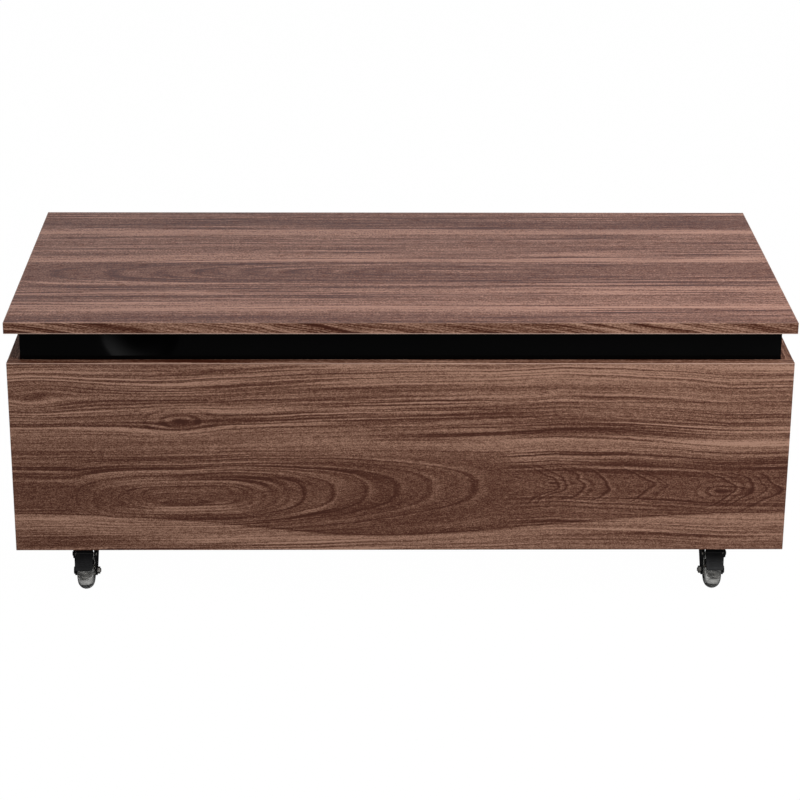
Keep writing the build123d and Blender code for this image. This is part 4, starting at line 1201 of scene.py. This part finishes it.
def grown(name, mesh, tree, sizes):
    """A plain mesh object that a tree grows from a base mesh."""
    piece = bpy.data.objects.new(name, mesh)
    bpy.context.scene.collection.objects.link(piece)
    modifier = piece.modifiers.new("grow", "NODES")
    modifier.node_group = tree
    for item in tree.interface.items_tree:
        if item.in_out == "INPUT" and item.name in sizes:
            modifier[item.identifier] = sizes[item.name]
    evaluated = piece.evaluated_get(bpy.context.evaluated_depsgraph_get())
    plain = bpy.data.meshes.new_from_object(evaluated)
    piece.modifiers.remove(modifier)
    piece.data = plain
    shape = bmesh.new()
    shape.from_mesh(plain)
    bmesh.ops.recalc_face_normals(shape, faces=shape.faces)
    shape.to_mesh(plain)
    shape.free()
    return piece


wire_tree = make_wire_tree()
print("tree", wire_tree.name)

# %% Wind the springs
SHAFT = Vector(joints["lift"]["pos_m"])
ARM_TILT = radians(8.0)
WIRE_RADIUS = 0.0018
WIRE_SIDES = 14
COILS = 8
COIL_STEPS = 32
COIL_RADIUS = 0.009
COIL_PITCH = 0.005
COIL_OUT = 0.5495
LEG_BEND = 0.004
BEND_STEPS = 6
# Reach of each leg along the arm, and the face that its hooked end comes out of
ARM_LEG, ARM_FACE = 0.042, 0.5578
CHEEK_LEG, CHEEK_FACE = -0.009, 0.50445


def coil_advance(turn, end, ease=90.0):
    """Degrees of pitch that a coil has moved on after a turn: it starts off and ends level."""
    if turn < ease:
        return turn * turn / (2 * ease)
    if turn > end - ease:
        return end - ease - (end - turn) ** 2 / (2 * ease)
    return turn - ease / 2


def bent_leg(coil_x, reach, face):
    """Points of a leg from the tip of its hook, round the bend, towards the coil."""
    corner = Vector((coil_x, reach, -COIL_RADIUS))
    to_tip = (Vector((face, reach, -COIL_RADIUS)) - corner).normalized() * LEG_BEND
    to_coil = (Vector((coil_x, 0.0, -COIL_RADIUS)) - corner).normalized() * LEG_BEND
    centre = corner + to_tip + to_coil
    points = [Vector((face, reach, -COIL_RADIUS))]
    for step in range(BEND_STEPS + 1):
        angle = pi / 2 * step / BEND_STEPS
        points.append(centre - to_coil * cos(angle) - to_tip * sin(angle))
    return points


def spring_path():
    """The wire of the right-hand spring as points along X, along the arm and across it."""
    end = 360.0 * COILS
    coil = []
    for step in range(COILS * COIL_STEPS + 1):
        turn = 360.0 * step / COIL_STEPS
        angle = radians(-90.0 - turn)
        x = COIL_OUT - COIL_PITCH * coil_advance(turn, end) / 360.0
        coil.append(Vector((x, COIL_RADIUS * cos(angle), COIL_RADIUS * sin(angle))))
    arm_leg = bent_leg(COIL_OUT, ARM_LEG, ARM_FACE)
    cheek_leg = bent_leg(coil[-1].x, CHEEK_LEG, CHEEK_FACE)
    return arm_leg + coil + cheek_leg[::-1]


def beside_shaft(side, x, along, across):
    """A point of the path, set on the shaft of one side."""
    y = along * cos(ARM_TILT) - across * sin(ARM_TILT)
    z = along * sin(ARM_TILT) + across * cos(ARM_TILT)
    return (side * x, SHAFT.y + y, SHAFT.z + z)


wire_path = spring_path()
for name, side in SIDES.items():
    points = [beside_shaft(side, *point) for point in wire_path]
    mesh = bpy.data.meshes.new(f"{name}_spring_path")
    mesh.from_pydata(points, [(k, k + 1) for k in range(len(points) - 1)], [])
    sizes = {"Wire Radius": WIRE_RADIUS, "Sides": WIRE_SIDES, "Finish": finishes["spring_steel"]}
    spring = grown(f"{name}_wound_spring", mesh, wire_tree, sizes)
    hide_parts("lift_springs")
    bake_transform(spring)
    print(spring.name, len(spring.data.polygons), "faces")

# %% [markdown]
# ## Screws
# The brackets, the black boards and the casters are held by zinc-plated screws with a cross recess. One
# screw of each length is modelled: its outline is turned, the recess is sunk into the head, and the flat
# between the two is filled. Geometry Nodes then set a copy at every place. An attribute on each point
# gives the way that the screw goes in, and a seeded random turn keeps the crosses from lining up.

# %% Model one screw
SCREW_SIDES = 24
RECESS_REACH = 0.0021
RECESS_HALF = 0.0006
RECESS_DEPTH = 0.0014
RECESS_TAPER = 0.55
# Heads as (radius, along) points from the rim to the shank: one countersunk, one low and round on its seat
FLAT_HEAD = ((0.0036, 0.0), (0.0038, 0.0002), (0.0020, 0.0019))
PAN_HEAD = (
    (0.0027, -0.0024),
    (0.0036, -0.0021),
    (0.0042, -0.0015),
    (0.0044, -0.0008),
    (0.0044, 0.0),
    (0.0022, 0.0),
)
TIP_LENGTH = 0.002


def screw_outline(head, length):
    """Outline of a screw from its head's rim down the shank to its tip."""
    shank_radius = head[-1][0]
    return [*head, (shank_radius, length - TIP_LENGTH), (0.0, length)]


def cross_outline(reach, half):
    """The twelve corners of a cross, a quarter at a time."""
    corners = []
    for quarter in range(4):
        turn = Matrix.Rotation(quarter * pi / 2, 2)
        corners += [turn @ Vector(corner) for corner in ((reach, -half), (reach, half), (half, half))]
    return corners


def screw_model(name, outline):
    """A screw along +Z from an outline of (radius, along) points, its head's rim first, its tip last."""
    shape = bmesh.new()
    rings = []
    for radius, along in outline[:-1]:
        angles = [2 * pi * k / SCREW_SIDES for k in range(SCREW_SIDES)]
        rings.append([shape.verts.new((radius * cos(a), radius * sin(a), along)) for a in angles])
    tip = shape.verts.new((0.0, 0.0, outline[-1][1]))
    for k in range(SCREW_SIDES):
        after = (k + 1) % SCREW_SIDES
        for ring, following in zip(rings, rings[1:]):
            shape.faces.new((ring[k], ring[after], following[after], following[k]))
        shape.faces.new((rings[-1][k], rings[-1][after], tip))
    top = outline[0][1]
    cross = cross_outline(RECESS_REACH, RECESS_HALF)
    mouth = [shape.verts.new((x, y, top)) for x, y in cross]
    floor = [shape.verts.new((x * RECESS_TAPER, y * RECESS_TAPER, top + RECESS_DEPTH)) for x, y in cross]
    for k in range(len(cross)):
        after = (k + 1) % len(cross)
        shape.faces.new((mouth[k], mouth[after], floor[after], floor[k]))
    shape.faces.new(floor)
    rim = [edge for edge in shape.edges if edge.is_boundary]
    bmesh.ops.triangle_fill(shape, edges=rim, use_beauty=True)
    bmesh.ops.recalc_face_normals(shape, faces=shape.faces)
    mesh = bpy.data.meshes.new(name)
    shape.to_mesh(mesh)
    shape.free()
    model = bpy.data.objects.new(name, mesh)
    bpy.context.scene.collection.objects.link(model)
    return model


# %% Set the screws
def make_screw_tree():
    """Sets a screw on every point, along the point's own direction, with a seeded turn."""
    inputs = {"Screw": MODEL, "Seed": WHOLE, "Finish": FINISH}
    tree, net, given = new_tree("set_screws", inputs)
    into = net.add("GeometryNodeInputNamedAttribute", {"Name": "into"}, data_type="FLOAT_VECTOR").outputs[0]
    aligned = net.add("FunctionNodeAlignRotationToVector", {"Vector": into}, axis="Z").outputs[0]
    # Sockets 2, 3 and 8 of this node are the least number, the greatest number and the seed
    limits = {2: 0.0, 3: pi / 2, 8: given["Seed"]}
    turn = net.add("FunctionNodeRandomValue", limits, data_type="FLOAT").outputs[1]
    spin = net.add("FunctionNodeAxisAngleToRotation", {"Axis": (0.0, 0.0, 1.0), "Angle": turn}).outputs[0]
    turned = {"Rotation": aligned, "Rotate By": spin}
    way = net.add("FunctionNodeRotateRotation", turned, rotation_space="LOCAL").outputs[0]
    model = net.add("GeometryNodeObjectInfo", {"Object": given["Screw"]}).outputs["Geometry"]
    places = {"Points": given["Geometry"], "Instance": model, "Rotation": way}
    close_tree(net, net.add("GeometryNodeInstanceOnPoints", places).outputs[0], given["Finish"])
    return tree


screw_tree = make_screw_tree()


def set_screws(node, body, outline, places, seed):
    """Screws at (place, direction) pairs, in the stead of a node."""
    mesh = bpy.data.meshes.new(f"{node}_places")
    mesh.from_pydata([place for place, _ in places], [], [])
    into = mesh.attributes.new("into", "FLOAT_VECTOR", "POINT")
    for value, (_, direction) in zip(into.data, places):
        value.vector = direction
    model = screw_model(f"{node}_model", outline)
    sizes = {"Screw": model, "Seed": seed, "Finish": finishes["zinc"]}
    piece = grown(f"set_{node}", mesh, screw_tree, sizes)
    bpy.data.objects.remove(model)
    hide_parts(node)
    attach(piece, body)
    print(piece.name, len(places), "screws,", len(piece.data.polygons), "faces")


# %% Places of the screws
RISER_X, RISER_Y, RISER_SCREW_Z = 0.562, 0.254, 0.354
RISER_SCREWS_X, RISER_SCREWS_Y = (-0.45, -0.15, 0.15, 0.45), (-0.209, 0.209)
BASE_PLATE_X = 0.559
BASE_SCREWS = (
    (-0.073859, 0.352182),
    (0.040141, 0.344182),
    (-0.057859, 0.366382),
    (0.028341, 0.365182),
)
FLANGE_X, FLANGE_UNDER = 0.5356, 0.438
FLANGE_SCREWS_Y = (0.140, 0.185, 0.230)
CASTER_X, CASTER_Y, CASTER_SEAT, CASTER_SCREW = 0.4955, 0.2195, 0.0815, 0.023
UP = (0.0, 0.0, 1.0)

riser_places, base_places, top_places, caster_places = [], [], [], []
for side in SIDES.values():
    outward = (side, 0.0, 0.0)
    for x in RISER_SCREWS_X:
        riser_places.append(((x, side * RISER_Y, RISER_SCREW_Z), (0.0, side, 0.0)))
    riser_places += [((side * RISER_X, y, RISER_SCREW_Z), outward) for y in RISER_SCREWS_Y]
    base_places += [((side * BASE_PLATE_X, y, z), outward) for y, z in BASE_SCREWS]
    top_places += [((side * FLANGE_X, y, FLANGE_UNDER), UP) for y in FLANGE_SCREWS_Y]
    for end in (-1, 1):
        for x in (-CASTER_SCREW, CASTER_SCREW):
            for y in (-CASTER_SCREW, CASTER_SCREW):
                caster_places.append(((side * CASTER_X + x, end * CASTER_Y + y, CASTER_SEAT), UP))
set_screws("riser_screws", "carcass", screw_outline(FLAT_HEAD, length=0.028), riser_places, seed=1)
set_screws("base_bracket_screws", "carcass", screw_outline(FLAT_HEAD, length=0.015), base_places, seed=2)
set_screws("top_bracket_screws", "top", screw_outline(FLAT_HEAD, length=0.014), top_places, seed=3)
set_screws("caster_screws", "carcass", screw_outline(PAN_HEAD, length=0.0145), caster_places, seed=4)

# %% [markdown]
# ## Light and background
# A product shot: one large soft light above and to the right, a weaker one from the left front, an even
# sky, and a white floor. The camera sees floor and sky as white, while the object is lit at a plain
# level, so its colours stay as they are written. Mirror rays see a darker floor, as in a studio whose
# floor ends soon in front of the object, and rays through clear plastic see a grey one. From below the
# floor is clear, so the underside can be looked at. The soft curved reflection on the black board comes
# from a small round card that stands in front of it and is seen in gloss alone.

# %% Floor and sky
WHITE = (1.0, 1.0, 1.0, 1.0)
FLOOR_HALF = 30.0
FLOOR_GREY = (0.42, 0.42, 0.42, 1.0)
FLOOR_ROUGHNESS = 0.9
# How white the camera sees the floor, how bright that white is, and how white it is through clear plastic
FLOOR_SHOWS_WHITE = 0.985
FLOOR_GLOW = 1.01
FLOOR_THROUGH = 0.42
# Strength of the sky where it lights, where it is mirrored and where it is seen through clear plastic
SKY_STRENGTH = 0.30
SKY_GLOSS = 0.75
SKY_THROUGH = 0.50


def make_floor():
    """A wide floor that is white to the camera, still takes a shadow and is clear from below."""
    mesh = bpy.data.meshes.new("floor")
    corners = [(x * FLOOR_HALF, y * FLOOR_HALF, 0.0) for x, y in ((-1, -1), (1, -1), (1, 1), (-1, 1))]
    mesh.from_pydata(corners, [], [(0, 1, 2, 3)])
    floor = bpy.data.objects.new("floor", mesh)
    bpy.context.scene.collection.objects.link(floor)
    material, net, shader, _ = new_material("floor_white")
    shader.inputs["Base Color"].default_value = FLOOR_GREY
    shader.inputs["Roughness"].default_value = FLOOR_ROUGHNESS
    shader.inputs["Specular IOR Level"].default_value = 0.0
    path = net.add("ShaderNodeLightPath").outputs
    straight = net.scaled(path["Is Camera Ray"], FLOOR_SHOWS_WHITE)
    share = net.math("MAXIMUM", straight, net.scaled(path["Is Transmission Ray"], FLOOR_THROUGH))
    glow = net.add("ShaderNodeEmission", {"Color": WHITE, "Strength": FLOOR_GLOW}).outputs[0]
    seen = net.add("ShaderNodeMixShader", {0: share, 1: shader.outputs[0], 2: glow}).outputs[0]
    below = net.add("ShaderNodeNewGeometry").outputs["Backfacing"]
    clear = net.add("ShaderNodeBsdfTransparent").outputs[0]
    one_sided = net.add("ShaderNodeMixShader", {0: below, 1: seen, 2: clear}).outputs[0]
    net.feed(material.node_tree.nodes["Material Output"].inputs["Surface"], one_sided)
    dress(floor, material)
    floor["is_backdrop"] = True


def make_sky():
    """An even sky: white where it is seen, weaker where it lights."""
    world = bpy.data.worlds.new("studio_sky")
    world.use_nodes = True
    bpy.context.scene.world = world
    net = Net(world.node_tree)
    path = net.add("ShaderNodeLightPath").outputs
    strength = net.math("MAXIMUM", path["Is Camera Ray"], SKY_STRENGTH)
    for ray, level in (("Is Glossy Ray", SKY_GLOSS), ("Is Transmission Ray", SKY_THROUGH)):
        strength = net.math("MAXIMUM", strength, net.scaled(path[ray], level))
    background = world.node_tree.nodes["Background"]
    background.inputs["Color"].default_value = WHITE
    net.feed(background.inputs["Strength"], strength)


make_floor()
make_sky()
print("floor and sky set")

# %% Card for the black board's gloss
CARD_MIDDLE = Vector((-0.415, -0.4785, 0.3686))
CARD_RADIUS = 0.063
CARD_STEPS = 64
CARD_GLOW = 5.5
# Where the glow starts and is full: in height and sideways from the middle, and outward from it
GLOW_LOW, GLOW_LEFT = (0.012, -0.045), (0.045, -0.055)
GLOW_OUT = (CARD_RADIUS - 0.040, CARD_RADIUS)


def make_ring_card():
    """A round card in front of the black board's left end, seen only in gloss, bright at its lower left."""
    points = [CARD_MIDDLE]
    for step in range(CARD_STEPS):
        angle = 2 * pi * step / CARD_STEPS
        points.append(CARD_MIDDLE + Vector((cos(angle), 0.0, sin(angle))) * CARD_RADIUS)
    faces = [(0, step + 1, (step + 1) % CARD_STEPS + 1) for step in range(CARD_STEPS)]
    card = smooth_mesh("ring_card", points, faces)
    material, net, _, place = new_material("ring_glow")
    away = net.add("ShaderNodeVectorMath", {0: place, 1: CARD_MIDDLE}, operation="DISTANCE").outputs["Value"]
    x, _, z = net.split(place)
    low = net.step(z, *(CARD_MIDDLE.z + limit for limit in GLOW_LOW))
    left = net.step(x, *(CARD_MIDDLE.x + limit for limit in GLOW_LEFT))
    corner = net.math("MULTIPLY", low, net.scaled(left, CARD_GLOW))
    glow = net.math("MULTIPLY", net.step(away, *GLOW_OUT), corner)
    shine = net.add("ShaderNodeEmission", {"Strength": glow}).outputs[0]
    net.feed(material.node_tree.nodes["Material Output"].inputs["Surface"], shine)
    dress(card, material)
    for ray in ("camera", "diffuse", "transmission", "volume_scatter", "shadow"):
        setattr(card, f"visible_{ray}", False)
    card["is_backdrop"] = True
    print(card.name, "at", [round(value, 3) for value in CARD_MIDDLE])


make_ring_card()

# %% Lamps
# Place, aim, width in metres and power in watts
LAMPS = {
    "key_light": ((2.1, -1.5, 2.5), (0.0, 0.0, 0.3), 2.2, 115.0),
    "fill_light": ((-1.8, -3.2, 1.6), (0.0, 0.0, 0.25), 2.0, 24.0),
}


def soft_light(name, place, aim, width, power):
    """A square lamp that faces a point."""
    data = bpy.data.lights.new(name, "AREA")
    data.size = width
    data.energy = power
    lamp = bpy.data.objects.new(name, data)
    bpy.context.scene.collection.objects.link(lamp)
    towards = Vector(aim) - Vector(place)
    lamp.matrix_world = Matrix.Translation(place) @ towards.to_track_quat("-Z", "Y").to_matrix().to_4x4()


for name, settings in LAMPS.items():
    soft_light(name, *settings)
bpy.context.scene.view_settings.view_transform = "Standard"
print("lamps:", ", ".join(LAMPS))

# %% [markdown]
# ## The boxes
# The box of the imported model and the box of the dressed model are written side by side, so that a piece
# that grew past the solids would show at once.

# %% Measure and finish
visual_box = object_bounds()
sizes = {"cad": [list(corner) for corner in cad_box], "visual": [list(corner) for corner in visual_box]}
print("boxes", sizes)
